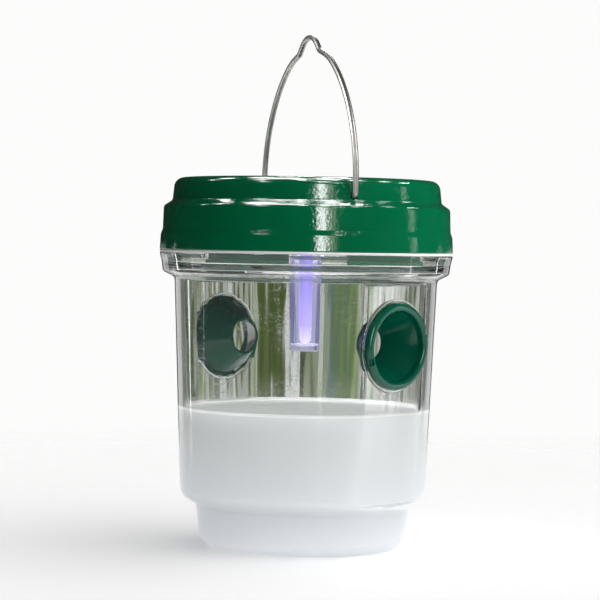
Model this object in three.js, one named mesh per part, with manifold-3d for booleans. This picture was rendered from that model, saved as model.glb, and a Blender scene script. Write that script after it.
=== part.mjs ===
// A hanging wasp trap with a solar lamp: a clear jar with two entry funnels, a green lid that carries
// a lit tube, and a wire handle.
//
// Millimetres, +Z up. The origin is the middle of the jar's foot, and +X runs out through the middle
// of the front entry funnel.

import * as THREE from 'three';
import { mergeVertices } from 'three/addons/utils/BufferGeometryUtils.js';
import Module from 'manifold-3d';

const wasm = await Module();
wasm.setup();

// ---------------------------------------------------------------- driving dimensions

const ROUND = 40; // sides of the large turned pieces
const GAP = 0.3; // left between neighbouring pieces

const WALL = 2; // jar and lid wall
const RIM_R = 60; // jar rim, outside
const RIM_Z = 119.2;
const FLOOR_Z = 2.5; // top of the jar's floor
const LIQUID_Z = 56; // level of the bait liquid

const ENTRY_Z = 83.5; // height of the entry funnels' middle
const FLAT_X = 49.9; // the jar's flat at that height, from the jar's axis
const FLAT_TILT = THREE.MathUtils.degToRad(2.4); // the flat leans out upwards
const FLAT_LOW = 21;
const FLAT_HIGH = 107.3;
const ENTRY_HOLE_R = 15.7;
const ENTRY_SLOT_R = 17.1; // the two slots that let the funnel's lugs through
const ENTRY_SLOT_SPAN = THREE.MathUtils.degToRad(36);

const FUNNEL_RIM_R = 17.25;
const FUNNEL_RIM_H = 3.1; // how far the rim stands proud of the flat
const FUNNEL_MOUTH_R = 14.2;
const FUNNEL_TIP_R = 7.6; // outside
const FUNNEL_HOLE_R = 6.1;
const FUNNEL_DEPTH = 13.8; // from the flat to the tip
const FUNNEL_LUG_ANGLE = THREE.MathUtils.degToRad(110);

const TABS = 6; // the lid's tabs, and the jar's ribs that they turn under
const TAB_SPAN = THREE.MathUtils.degToRad(36);
const RIB_SPAN = THREE.MathUtils.degToRad(21);
const TAB_FIRST = THREE.MathUtils.degToRad(-10);

const LID_LOW = 120.3;
const LID_TOP = 149.5;
const LID_FLANGE_R = 53.2; // inside edge of the flange that the tabs hang from
const PANEL_POCKET = 64; // side of the square pocket in the lid's top
const PANEL_FLOOR_Z = 146.5;
const SCREW_RING_R = 46;
const SCREW_ANGLES = [90, 235, 305].map(THREE.MathUtils.degToRad);

const PLATE_R = LID_FLANGE_R - GAP;
const PLATE_TOP = 122.7;
const TUBE_HOLE_R = 7.1;
const TUBE_LOW = 79.4;
const TUBE_TOP = 125.2;

const BATTERY_Y = 24;
const BATTERY_Z = 130.6;
const BATTERY_R = 7.1;
const BATTERY_LENGTH = 49;
const BAY_BACK = -30.3; // inside of the battery bay, along X
const BAY_FRONT = 27.8;
const BAY_HALF = 8.3; // half its width
const BAY_TOP = 138.6;
const DOOR_SCREW_X = 33.5;

const BOARD_LOW = 128;
const BOARD_TOP = 129.6;
const BOARD_Y = -27; // its middle
const BOARD_X = 20; // half its length
const BOARD_HALF = 11;
const BOARD_POSTS = [-16, 16];
const SWITCH_Y = -27;
const SWITCH_REST = -1.5;

const BAIL_HEADING = THREE.MathUtils.degToRad(-25.7); // direction of the handle's pivot axis
const BAIL_PIVOT_Z = 142.2;
const BAIL_TOP = 65.5; // crest above the pivot
// One side of the handle's line, out from the lid's axis and up from the pivot.
const BAIL_SIDE = [
  [56.3, 0],
  [56.3, 5],
  [55.9, 12.5],
  [54.2, 20.3],
  [51.7, 26.9],
  [48, 33.6],
  [43.1, 40.2],
  [36.6, 46.8],
  [28.8, 52.6],
  [21.2, 56.5],
  [12.3, 59.2], // where the raised crest begins
];
const BAIL_R = BAIL_SIDE[0][0];
const BAIL_CREST_SLOPE = THREE.MathUtils.degToRad(41.5);
const BAIL_END_R = 50.2; // where the bent-in ends stop
const WIRE_R = 1.15;

// ---------------------------------------------------------------- shapes

// A closed mesh with shared corners merged and empty triangles dropped.
function welded(geometry) {
  const bare = geometry.clone();
  bare.deleteAttribute('normal');
  bare.deleteAttribute('uv');
  const merged = mergeVertices(bare);
  const corners = merged.index.array;
  const kept = [];
  for (let i = 0; i < corners.length; i += 3) {
    const [a, b, c] = corners.subarray(i, i + 3);
    if (a !== b && b !== c && c !== a) kept.push(a, b, c);
  }
  merged.setIndex(kept);
  return merged;
}

function solid(geometry) {
  const mesh = welded(geometry);
  return new wasm.Manifold(new wasm.Mesh({
    numProp: 3,
    vertProperties: new Float32Array(mesh.attributes.position.array),
    triVerts: new Uint32Array(mesh.index.array),
  }));
}

function asGeometry(manifold) {
  const mesh = manifold.getMesh();
  const geometry = new THREE.BufferGeometry();
  geometry.setAttribute('position', new THREE.BufferAttribute(mesh.vertProperties, 3));
  geometry.setIndex(new THREE.BufferAttribute(mesh.triVerts, 1));
  return geometry;
}

function join(...geometries) {
  return asGeometry(geometries.map(solid).reduce((whole, next) => whole.add(next)));
}

function cut(geometry, ...tools) {
  return asGeometry(tools.map(solid).reduce((whole, tool) => whole.subtract(tool), solid(geometry)));
}

// Points of an outline given by its corners, each [x, y, fillet radius, steps in the fillet].
function rounded(corners) {
  return corners.flatMap(([x, y, fillet = 0, steps = 2], i) => {
    const corner = new THREE.Vector2(x, y);
    if (!fillet) return [corner];
    const back = new THREE.Vector2(corners[i - 1][0], corners[i - 1][1]).sub(corner).normalize();
    const on = new THREE.Vector2(corners[i + 1][0], corners[i + 1][1]).sub(corner).normalize();
    const half = Math.acos(back.dot(on)) / 2;
    const centre = back.clone().add(on).setLength(fillet / Math.sin(half)).add(corner);
    const start = back.setLength(fillet / Math.tan(half)).add(corner).sub(centre);
    const end = on.setLength(fillet / Math.tan(half)).add(corner).sub(centre);
    const sweep = Math.atan2(start.cross(end), start.dot(end));
    const turn = (k) => start.clone().rotateAround(new THREE.Vector2(), sweep * k / steps).add(centre);
    return Array.from({ length: steps + 1 }, (_, k) => turn(k));
  });
}

// A solid turned about Z from the corners [radius, height] of its section.
function turned(corners, sides = ROUND) {
  const outline = rounded(corners);
  if (outline[0].x > 0) outline.push(outline[0].clone());
  return new THREE.LatheGeometry(outline, sides).rotateX(Math.PI / 2);
}

function box([x0, y0, z0], [x1, y1, z1]) {
  return new THREE.BoxGeometry(x1 - x0, y1 - y0, z1 - z0)
    .translate((x0 + x1) / 2, (y0 + y1) / 2, (z0 + z1) / 2);
}

// An upright round bar.
function post(x, y, low, high, radius, sides = 16) {
  return new THREE.CylinderGeometry(radius, radius, high - low, sides)
    .rotateX(Math.PI / 2)
    .translate(x, y, (low + high) / 2);
}

// Part of a ring about Z, from one angle to another.
function sector(inner, outer, middle, span, low, high) {
  const shape = new THREE.Shape();
  shape.absarc(0, 0, outer, middle - span / 2, middle + span / 2, false);
  shape.absarc(0, 0, inner, middle + span / 2, middle - span / 2, true);
  return new THREE.ExtrudeGeometry(shape, { depth: high - low, bevelEnabled: false, curveSegments: 2 })
    .translate(0, 0, low);
}

// A round wire along a curve.
function wire(curve, radius, steps, sides = 8) {
  const section = new THREE.Shape();
  section.absarc(0, 0, radius, 0, 2 * Math.PI, false);
  return new THREE.ExtrudeGeometry(section, {
    steps,
    curveSegments: sides / 2,
    bevelEnabled: false,
    extrudePath: curve,
  });
}

function lead(radius, steps, ...points) {
  const curve = new THREE.CatmullRomCurve3(points.map((p) => new THREE.Vector3(...p)));
  return wire(curve, radius, steps, 6);
}

function repeated(count, make) {
  return Array.from({ length: count }, (_, i) => make(i));
}

// Moves a shape made about Z, with the jar's flat at z = 0, to the front entry.
function toEntry(geometry) {
  return geometry.rotateY(Math.PI / 2 + FLAT_TILT).translate(FLAT_X, 0, ENTRY_Z);
}

// ---------------------------------------------------------------- jar and bait

// The space outside one of the jar's two flats, moved in by a wall thickness for the inside.
function flatSpace(inset) {
  const reach = 80;
  const halfWidth = 30;
  const low = FLAT_LOW - inset;
  const high = FLAT_HIGH + inset;
  const faceAt = (z) => FLAT_X + (z - ENTRY_Z) * Math.tan(FLAT_TILT) - inset;
  const side = new THREE.Shape([
    new THREE.Vector2(faceAt(low), low),
    new THREE.Vector2(reach, low),
    new THREE.Vector2(reach, high),
    new THREE.Vector2(faceAt(high), high),
  ]);
  return new THREE.ExtrudeGeometry(side, { depth: 2 * halfWidth, bevelEnabled: false })
    .rotateX(Math.PI / 2)
    .translate(0, halfWidth, 0);
}

function withFlats(geometry, inset) {
  const front = flatSpace(inset);
  return cut(geometry, front, front.clone().rotateZ(Math.PI));
}

function jarOutside() {
  return withFlats(turned([
    [0, 0],
    [41.85, 0, 5.5],
    [43.7, 16.5, 1],
    [50.15, 20.7, 5],
    [53.7, 109, 2],
    [58.5, 111.4, 1.6],
    [59.1, 115.8],
    [RIM_R, RIM_Z],
    [0, RIM_Z],
  ]), 0);
}

// The jar's inside, drawn in by a margin, up to a height.
function jarInside(margin) {
  return withFlats(turned([
    [0, FLOOR_Z + margin],
    [40.1 - margin, FLOOR_Z + margin, 3.5],
    [41.7 - margin, 17.6 + margin],
    [48.2 - margin, 21.9 + margin, 3],
    [51.7 - margin, 110.3, 3],
    [56.7, 112.7],
    [56.2, 113.4],
    [56.2, 115.2],
    [57.1, 115.5],
    [RIM_R - WALL, RIM_Z],
    [RIM_R - WALL, RIM_Z + 5],
    [0, RIM_Z + 5],
  ]), WALL + margin);
}

function jar() {
  const hole = toEntry(join(
    post(0, 0, -2 * WALL, 2 * WALL, ENTRY_HOLE_R, 32),
    ...[0, Math.PI].map((angle) => (
      sector(ENTRY_HOLE_R - 1, ENTRY_SLOT_R, angle, ENTRY_SLOT_SPAN, -2 * WALL, 2 * WALL)
    )),
  ));
  const ribs = repeated(TABS, (i) => (
    sector(55.6, 58.4, TAB_FIRST + (i + 0.5) * Math.PI / 3, RIB_SPAN, 117.2, RIM_Z)
  ));
  const shell = cut(jarOutside(), jarInside(0), hole, hole.clone().rotateZ(Math.PI));
  return join(shell, ...ribs);
}

function baitLiquid() {
  return cut(jarInside(GAP), box([-80, -80, LIQUID_Z], [80, 80, 200]));
}

// ---------------------------------------------------------------- entry funnels

// Made about Z, with the jar's flat at z = 0 and its outside at +Z.
function entryFunnel() {
  const bodyR = ENTRY_HOLE_R - 0.5;
  const lugs = [0, Math.PI].map((angle) => (
    sector(bodyR - 0.5, 16.8, FUNNEL_LUG_ANGLE + angle, ENTRY_SLOT_SPAN * 0.85, -3.7, -WALL - 0.4)
  ));
  const notches = [0, Math.PI].map((angle) => (
    box([15.4, -1.6, 1.4], [20, 1.6, 5]).rotateZ(FUNNEL_LUG_ANGLE + angle)
  ));
  const horn = turned([
    [bodyR, GAP],
    [FUNNEL_RIM_R, GAP],
    [FUNNEL_RIM_R, FUNNEL_RIM_H, 1],
    [FUNNEL_MOUTH_R, FUNNEL_RIM_H, 1],
    [FUNNEL_MOUTH_R - 0.3, 0],
    [FUNNEL_HOLE_R, -FUNNEL_DEPTH],
    [FUNNEL_TIP_R, -FUNNEL_DEPTH],
    [bodyR, -WALL - 0.4],
  ], 28);
  return cut(join(horn, ...lugs), ...notches);
}

// ---------------------------------------------------------------- lid

function lidSeal() {
  return turned([
    [55.7, RIM_Z + GAP],
    [59.9, RIM_Z + GAP],
    [59.9, LID_LOW - GAP],
    [55.7, LID_LOW - GAP],
  ]);
}

function lidTab(angle) {
  return join(
    sector(53.4, 55.3, angle, TAB_SPAN, 115.5, LID_LOW + 1),
    sector(55, 56.7, angle, TAB_SPAN, 115.5, 116.9),
  );
}

function bailHole(heading) {
  return post(0, 0, BAIL_END_R - 1, RIM_R, WIRE_R + 0.35, 12)
    .rotateY(Math.PI / 2)
    .rotateZ(heading)
    .translate(0, 0, BAIL_PIVOT_Z);
}

function lidShell() {
  const shell = turned([
    [59.9, LID_LOW],
    [59.6, 126.8],
    [58.75, 129],
    [58.55, 137.9, 1.4],
    [54.8, 140.6, 1.2],
    [53.95, LID_TOP, 3.6, 3],
    [0, LID_TOP],
    [0, LID_TOP - WALL],
    [52, LID_TOP - WALL, 2],
    [52.8, 139.6],
    [56.6, 136.8],
    [56.75, 128.8],
    [57.6, 126.6],
    [57.8, LID_LOW + WALL],
    [LID_FLANGE_R, LID_LOW + WALL],
    [LID_FLANGE_R, LID_LOW],
    [59.9, LID_LOW],
  ]);
  const half = PANEL_POCKET / 2;
  const tray = box([-half - WALL, -half - WALL, PANEL_FLOOR_Z - WALL], [half + WALL, half + WALL, 148]);
  const pocket = box([-half, -half, PANEL_FLOOR_Z], [half, half, LID_TOP + 5]);
  const wireHole = box([-6, -12, PANEL_FLOOR_Z - 2 * WALL], [6, -8, LID_TOP]);
  const pillars = SCREW_ANGLES.map((angle) => (
    post(SCREW_RING_R, 0, PLATE_TOP + GAP, 148, 3.5).rotateZ(angle)
  ));
  const screwHoles = SCREW_ANGLES.map((angle) => (
    post(SCREW_RING_R, 0, PLATE_TOP - 1, 134, 1.6, 12).rotateZ(angle)
  ));
  const tabs = repeated(TABS, (i) => lidTab(TAB_FIRST + i * Math.PI / 3));
  return cut(
    join(shell, tray, ...pillars, ...tabs),
    pocket,
    wireHole,
    ...screwHoles,
    bailHole(BAIL_HEADING),
    bailHole(BAIL_HEADING + Math.PI),
  );
}

function solarPanel() {
  const half = PANEL_POCKET / 2 - GAP;
  return box([-half, -half, PANEL_FLOOR_Z + GAP], [half, half, 148.1]);
}

function panelCover() {
  const half = PANEL_POCKET / 2 - GAP;
  return box([-half, -half, 148.4], [half, half, LID_TOP - 0.1]);
}

// ---------------------------------------------------------------- base plate and what it carries

function basePlate() {
  const disc = turned([
    [TUBE_HOLE_R, LID_LOW],
    [PLATE_R, LID_LOW],
    [PLATE_R, PLATE_TOP],
    [TUBE_HOLE_R, PLATE_TOP],
  ]);
  const bay = box(
    [BAY_BACK - 1.2, BATTERY_Y - BAY_HALF - 1.2, LID_LOW + 1],
    [BAY_FRONT + 1.2, BATTERY_Y + BAY_HALF + 1.2, BAY_TOP + 1.2],
  );
  const bayHollow = box(
    [BAY_BACK, BATTERY_Y - BAY_HALF, LID_LOW - 1],
    [BAY_FRONT, BATTERY_Y + BAY_HALF, BAY_TOP],
  );
  const tabSlots = [BAY_BACK, BAY_FRONT - 1.8].map((x) => (
    box([x, BATTERY_Y - 2.4, BAY_TOP - 1], [x + 1.8, BATTERY_Y + 2.4, BAY_TOP + 5])
  ));
  const doorRecess = box(
    [BAY_BACK - 3, BATTERY_Y - 10.3, LID_LOW - 1],
    [DOOR_SCREW_X + 4, BATTERY_Y + 10.3, LID_LOW + 1.3],
  );
  const doorBoss = post(DOOR_SCREW_X, BATTERY_Y, LID_LOW + 1, 131, 3);
  const doorHole = post(DOOR_SCREW_X, BATTERY_Y, LID_LOW - 1, 132, 1.6, 12);
  const boardPosts = BOARD_POSTS.map((x) => post(x, BOARD_Y, LID_LOW + 1, BOARD_LOW - GAP, 2.4));
  const boardHoles = BOARD_POSTS.map((x) => post(x, BOARD_Y, 123.2, BOARD_LOW, 1.3, 12));
  const switchSlot = box([-3.8, SWITCH_Y - 2, LID_LOW - 1], [3.8, SWITCH_Y + 2, PLATE_TOP + 1]);
  const screwHoles = SCREW_ANGLES.map((angle) => (
    post(SCREW_RING_R, 0, LID_LOW - 1, PLATE_TOP + 1, 1.7, 12).rotateZ(angle)
  ));
  return cut(
    join(disc, bay, doorBoss, ...boardPosts),
    bayHollow,
    ...tabSlots,
    doorRecess,
    doorHole,
    ...boardHoles,
    switchSlot,
    ...screwHoles,
  );
}

// A pan-head screw standing on its head, with the head's seat at z = 0.
function screw(length, radius) {
  return turned([
    [0, -1.4],
    [1.2 * radius, -1.4],
    [1.9 * radius, -0.9],
    [1.9 * radius, 0],
    [radius, 0],
    [radius, length - 1],
    [0.4 * radius, length],
    [0, length],
  ], 12);
}

function batteryDoor() {
  const low = LID_LOW + 0.1;
  const leaf = box(
    [BAY_BACK - 2.6, BATTERY_Y - 9.9, low],
    [DOOR_SCREW_X + 3.6, BATTERY_Y + 9.9, low + 0.9],
  );
  const cradle = [-16, 0, 16].map((x) => (
    box([x - 0.7, BATTERY_Y - 6, low + 0.5], [x + 0.7, BATTERY_Y + 6, 123.1])
  ));
  return cut(join(leaf, ...cradle), post(DOOR_SCREW_X, BATTERY_Y, low - 1, low + 3, 1.6, 12));
}

function batteryCell() {
  const half = BATTERY_LENGTH / 2;
  return turned([
    [0, -half],
    [BATTERY_R, -half, 0.6, 1],
    [BATTERY_R, half, 0.6, 1],
    [2.75, half],
    [2.75, half + 1.4],
    [0, half + 1.4],
  ], 24);
}

// A flat contact with a solder tab that stands through the bay's roof.
function contactPlate() {
  return join(
    box([-0.4, -6, 125], [0.4, 6, BAY_TOP - GAP]),
    box([-0.4, -1.9, BAY_TOP - 2], [0.4, 1.9, BAY_TOP + 3.6]),
  );
}

class ConicalHelix extends THREE.Curve {
  getPoint(t) {
    const turns = 2.6;
    const radius = 4.4 - 2 * t;
    const angle = 2 * Math.PI * turns * t;
    return new THREE.Vector3(3 * t, radius * Math.cos(angle), radius * Math.sin(angle));
  }
}

function lightTube() {
  return turned([
    [0, TUBE_LOW],
    [6.1, TUBE_LOW, 0.8, 1],
    [6.7, 119],
    [6.7, PLATE_TOP + 1.4],
    [9.5, PLATE_TOP + 1.4],
    [9.5, TUBE_TOP + 0.4],
    [5, TUBE_TOP + 0.4],
    [4.9, 119],
    [4.3, TUBE_LOW + 2],
    [0, TUBE_LOW + 2],
  ], 24);
}

function tubeGasket() {
  return turned([
    [TUBE_HOLE_R, PLATE_TOP + GAP],
    [9.5, PLATE_TOP + GAP],
    [9.5, PLATE_TOP + 1.1],
    [TUBE_HOLE_R, PLATE_TOP + 1.1],
  ], 24);
}

function tubeRetainer() {
  return turned([
    [9.8, PLATE_TOP + GAP],
    [12.6, PLATE_TOP + GAP],
    [12.6, 127.4],
    [5.2, 127.4],
    [5.2, TUBE_TOP + 0.7],
    [9.8, TUBE_TOP + 0.7],
  ], 24);
}

function ledLamp() {
  return turned([
    [0, 82.5],
    [2.5, 82.5, 2.2, 3],
    [2.5, 88.5],
    [2.9, 88.5],
    [2.9, 89.5],
    [0, 89.5],
  ], 16);
}

function ledSleeve() {
  return turned([[2.1, 89.8], [2.8, 89.8], [2.8, 126.4], [2.1, 126.4]], 16);
}

function circuitBoard() {
  const board = box([-BOARD_X, BOARD_Y - BOARD_HALF, BOARD_LOW], [BOARD_X, BOARD_Y + BOARD_HALF, BOARD_TOP]);
  return cut(board, ...BOARD_POSTS.map((x) => post(x, BOARD_Y, BOARD_LOW - 1, BOARD_TOP + 1, 1.3, 12)));
}

function switchHousing() {
  return cut(
    box([-6.5, SWITCH_Y - 3.2, PLATE_TOP + GAP], [6.5, SWITCH_Y + 3.2, BOARD_LOW - GAP]),
    box([-3.5, SWITCH_Y - 1.7, PLATE_TOP - 1], [3.5, SWITCH_Y + 1.7, 125.4]),
  );
}

function switchSlider() {
  return box([-1.4, -1.3, 118.9], [1.4, 1.3, 124.8]);
}

// ---------------------------------------------------------------- wire handle

// A flat path stood upright along a heading.
class UprightCurve extends THREE.Curve {
  constructor(path, heading, z) {
    super();
    this.path = path;
    this.heading = heading;
    this.z = z;
  }

  getPoint(t) {
    const { x, y } = this.path.getPointAt(t);
    return new THREE.Vector3(x * Math.cos(this.heading), x * Math.sin(this.heading), this.z + y);
  }
}

// The handle's line: two bowed sides and a small domed crest that a hook finds by itself.
function bailPath() {
  const [kinkX, kinkY] = BAIL_SIDE.at(-1);
  const peak = kinkY + kinkX * Math.tan(BAIL_CREST_SLOPE);
  const domeR = (peak - BAIL_TOP) / (1 / Math.cos(BAIL_CREST_SLOPE) - 1);
  const turn = Math.PI / 2 - BAIL_CREST_SLOPE;
  const side = BAIL_SIDE.map(([x, y]) => new THREE.Vector2(x, y));
  const otherSide = side.map(({ x, y }) => new THREE.Vector2(-x, y)).reverse();
  const path = new THREE.Path();
  path.moveTo(side[0].x, side[0].y);
  path.splineThru(side.slice(1));
  path.lineTo(domeR * Math.cos(turn), BAIL_TOP - domeR + domeR * Math.sin(turn));
  path.absarc(0, BAIL_TOP - domeR, domeR, turn, Math.PI - turn, false);
  path.lineTo(otherSide[0].x, otherSide[0].y);
  path.splineThru(otherSide.slice(1));
  return path;
}

function bailEnd(heading) {
  return join(
    post(0, 0, BAIL_END_R, BAIL_R, WIRE_R, 8).rotateY(Math.PI / 2),
    new THREE.SphereGeometry(WIRE_R, 8, 6).translate(BAIL_R, 0, 0),
  ).rotateZ(heading).translate(0, 0, BAIL_PIVOT_Z);
}

function bailHandle() {
  return join(
    wire(new UprightCurve(bailPath(), BAIL_HEADING, BAIL_PIVOT_Z), WIRE_R, 60),
    bailEnd(BAIL_HEADING),
    bailEnd(BAIL_HEADING + Math.PI),
  );
}

// ---------------------------------------------------------------- materials

function plain(color, roughness, metalness = 0, opacity = 1) {
  return new THREE.MeshStandardMaterial({
    color,
    roughness,
    metalness,
    opacity,
    transparent: opacity < 1,
  });
}

const GREEN = plain(0x00603a, 0.2);
const FUNNEL_GREEN = plain(0x00553c, 0.28);
const CLEAR = plain(0xeef3f3, 0.08, 0, 0.3);
const LIQUID = plain(0xd9dcdf, 0.3, 0, 0.85);
const SILICONE = plain(0xe6e8e6, 0.5);
const CELL = plain(0x10162e, 0.25);
const STEEL = plain(0xb9b7b2, 0.3, 1);
const BRASS = plain(0xc8b070, 0.35, 1);
const LED = plain(0x8a6cff, 0.15, 0, 0.8);
const SLEEVE = plain(0xb8a8ff, 0.35, 0, 0.8);
const BOARD = plain(0x1d5a3a, 0.45);
const BLACK = plain(0x17181a, 0.5);
const LABEL = plain(0x5d7fa8, 0.35);
const RED = plain(0xa81c1c, 0.45);

// ---------------------------------------------------------------- assembly

const trap = new THREE.Group();

function add(name, geometry, material, parent = trap) {
  const mesh = new THREE.Mesh(geometry, material);
  mesh.name = name;
  parent.add(mesh);
  return mesh;
}

function addJar() {
  add('jar', jar(), CLEAR);
  add('bait_liquid', baitLiquid(), LIQUID);
}

function addFunnel(name, turn) {
  const side = new THREE.Group();
  side.rotation.z = turn;
  trap.add(side);
  const mesh = add(name, entryFunnel(), FUNNEL_GREEN, side);
  mesh.position.set(FLAT_X, 0, ENTRY_Z);
  mesh.rotation.y = Math.PI / 2 + FLAT_TILT;
}

function addLid() {
  add('lid_seal', lidSeal(), SILICONE);
  add('lid_shell', lidShell(), GREEN);
  add('solar_panel', solarPanel(), CELL);
  add('panel_cover', panelCover(), CLEAR);
  add('base_plate', basePlate(), GREEN);
  SCREW_ANGLES.forEach((angle, i) => {
    const mesh = add(`plate_screw_${i + 1}`, screw(11, 1.3), STEEL);
    mesh.position.set(SCREW_RING_R * Math.cos(angle), SCREW_RING_R * Math.sin(angle), LID_LOW - GAP);
  });
}

function addLamp() {
  add('light_tube', lightTube(), CLEAR);
  add('tube_gasket', tubeGasket(), SILICONE);
  add('tube_retainer', tubeRetainer(), GREEN);
  add('led_lamp', ledLamp(), LED);
  add('led_sleeve', ledSleeve(), SLEEVE);
  [['led_wire_positive', 1, RED], ['led_wire_negative', -1, BLACK]].forEach(([name, side, colour]) => {
    add(name, lead(0.45, 16, [side, 0, 89.8], [side, 0, 108], [side, 0, 126], [side, -1.2, 131],
      [1.6 * side, -8, 134.2], [2.4 * side, -15.5, 133], [2.6 * side, -18, 130.1]), colour);
  });
}

function addElectronics() {
  add('circuit_board', circuitBoard(), BOARD);
  add('driver_chip', box([-12.5, -30, BOARD_TOP + GAP], [-7.5, -26, BOARD_TOP + 1.8]), BLACK);
  add('boost_coil', post(9, -31, BOARD_TOP + GAP, BOARD_TOP + 5, 3), BLACK);
  BOARD_POSTS.forEach((x, i) => {
    const mesh = add(`board_screw_${i + 1}`, screw(5.6, 1), STEEL);
    mesh.rotation.x = Math.PI;
    mesh.position.set(x, BOARD_Y, BOARD_TOP + GAP);
  });
  add('switch_housing', switchHousing(), BLACK);
  add('switch_slider', switchSlider(), BLACK).position.set(SWITCH_REST, SWITCH_Y, 0);
  [['panel_wire_positive', 1, RED], ['panel_wire_negative', -1, BLACK]].forEach(([name, side, colour]) => {
    add(name, lead(0.6, 12, [4 * side, -10, 146.4], [4 * side, -10, 143], [5.5 * side, -14, 138],
      [7 * side, -18.5, 133], [7 * side, -19, 130.1]), colour);
  });
}

function addBattery() {
  const cell = add('battery_cell', batteryCell(), LABEL);
  cell.rotation.y = Math.PI / 2;
  cell.position.set(0, BATTERY_Y, BATTERY_Z);
  add('battery_contact_positive', contactPlate(), BRASS).position.set(BAY_FRONT - 0.8, BATTERY_Y, 0);
  add('battery_contact_negative', contactPlate(), BRASS).position.set(BAY_BACK + 0.8, BATTERY_Y, 0);
  const spring = add('battery_spring', wire(new ConicalHelix(), 0.4, 24, 6), STEEL);
  spring.position.set(BAY_BACK + 2, BATTERY_Y, BATTERY_Z);
  add('battery_wire_positive', lead(0.7, 14, [27, 20.8, 141.2], [27, 8, 141], [22, -8, 138],
    [15.5, -19, 133], [15.5, -20, 130.2]), RED);
  add('battery_wire_negative', lead(0.7, 14, [-29.5, 20.8, 141.2], [-29, 8, 141], [-23, -8, 138],
    [-15.5, -19, 133], [-15.5, -20, 130.2]), BLACK);
  add('battery_door', batteryDoor(), GREEN);
  add('door_screw', screw(9, 1.2), STEEL).position.set(DOOR_SCREW_X, BATTERY_Y, LID_LOW - GAP);
}

addJar();
addFunnel('entry_funnel_front', 0);
addFunnel('entry_funnel_rear', Math.PI);
addLid();
addLamp();
addElectronics();
addBattery();
add('bail_handle', bailHandle(), STEEL);

export default trap;
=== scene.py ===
import math

import bmesh
import bpy
import numpy as np
from bpy.props import FloatProperty, FloatVectorProperty, IntProperty, PointerProperty
from bpy.types import Operator, Panel, PropertyGroup
from mathutils import Matrix, Vector


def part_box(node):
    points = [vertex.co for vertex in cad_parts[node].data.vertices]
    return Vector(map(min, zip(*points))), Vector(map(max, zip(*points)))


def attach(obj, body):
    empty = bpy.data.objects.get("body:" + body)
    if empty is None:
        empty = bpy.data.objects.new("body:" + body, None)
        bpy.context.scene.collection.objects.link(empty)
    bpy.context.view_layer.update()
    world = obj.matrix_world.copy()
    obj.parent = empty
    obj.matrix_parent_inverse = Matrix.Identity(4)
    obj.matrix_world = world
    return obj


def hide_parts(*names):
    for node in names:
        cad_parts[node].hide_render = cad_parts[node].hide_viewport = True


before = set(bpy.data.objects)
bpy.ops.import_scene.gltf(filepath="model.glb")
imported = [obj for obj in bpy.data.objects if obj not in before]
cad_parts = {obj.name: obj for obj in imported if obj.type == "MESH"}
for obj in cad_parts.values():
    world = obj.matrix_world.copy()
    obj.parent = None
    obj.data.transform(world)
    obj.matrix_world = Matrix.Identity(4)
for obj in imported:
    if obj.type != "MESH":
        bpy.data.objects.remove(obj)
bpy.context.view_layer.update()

bl_info = {
    "name": "Wasp Trap Workshop",
    "version": (1, 0, 0),
    "blender": (4, 5, 0),
    "location": "3D View > Sidebar > Wasp Trap",
    "description": "Makes the visible pieces, finishes and stage of a hanging wasp trap",
    "category": "Object",
}

# Outlines are written in millimetres, about the trap's upright axis, and the mesh tools scale them.
MM = 0.001

WALL = 2.0
ROW_STEP = 3.0  # longest stretch between rows of the jar's mesh
RIM_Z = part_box("lid_seal")[0].z / MM - 0.3
LID_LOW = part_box("base_plate")[0].z / MM
LID_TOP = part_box("lid_shell")[1].z / MM
PLATE_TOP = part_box("tube_gasket")[0].z / MM - 0.3
PANEL_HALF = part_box("panel_cover")[1].x / MM
TUBE_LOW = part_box("light_tube")[0].z / MM
LED_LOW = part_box("led_lamp")[0].z / MM
LED_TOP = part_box("led_lamp")[1].z / MM
# How fast a flat runs out into the wall above it and below it, per mm, and how round its edges are.
SHELF_TOP = 4.0
SHELF_FOOT = 1.3
EDGE_ROUND = 0.45
ENTRY_Z = 83.5
SIDE_FOOT = (50.15, 20.7)  # radius and height of the jar's side above the step
SIDE_HEAD = (53.7, 109.0)  # and under the collar
FLAT_X = 49.9
FLAT_TILT = math.radians(2.4)
FLAT_LOW = 21.0
FLAT_HIGH = 107.3
ENTRY_HOLE_R = 15.7
ENTRY_SLOT_R = 17.1
ENTRY_SLOT_SPAN = math.radians(36)
LUG_ANGLE = math.radians(110)
TABS = 6
TAB_SPAN = math.radians(36)
RIB_SPAN = math.radians(21)
TAB_FIRST = math.radians(-10)
BAIL_HEADING = math.radians(-25.7)
BAIL_PIVOT_Z = 142.2
BAIL_TOP = 65.42
# One side of the handle, out from the lid's axis and up from the pivot.
BAIL_SIDE = [
    (56.3, 0), (56.3, 5), (55.9, 12.5), (54.2, 20.3), (51.7, 26.9), (48.0, 33.6), (43.1, 40.2),
    (36.6, 46.8), (28.8, 52.6), (21.2, 56.5), (12.3, 59.2),
]
BAIL_KINK = BAIL_SIDE[-1]
BAIL_CREST_SLOPE = 41.5
BAIL_END_R = 50.3
BAIL_SOCKET_R = 1.55
SCREW_RING_R = 46.0
SCREW_ANGLES = [math.radians(a) for a in (90, 235, 305)]
BATTERY_Y = 24.0
BATTERY_Z = 130.6
# Corners of the battery bay's floor, and its ceiling.
BAY = ((-30.3, BATTERY_Y - 8.3), (27.8, BATTERY_Y + 8.3), 138.6)
DOOR_SCREW_X = 33.5
BOARD_Y = -27.0
BOARD_LOW = 128.0
BOARD_HIGH = 129.6
BOARD_POSTS = (-16.0, 16.0)
COIL_PLACE = (9.0, -31.0)


# ---------------------------------------------------------------- settings

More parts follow.
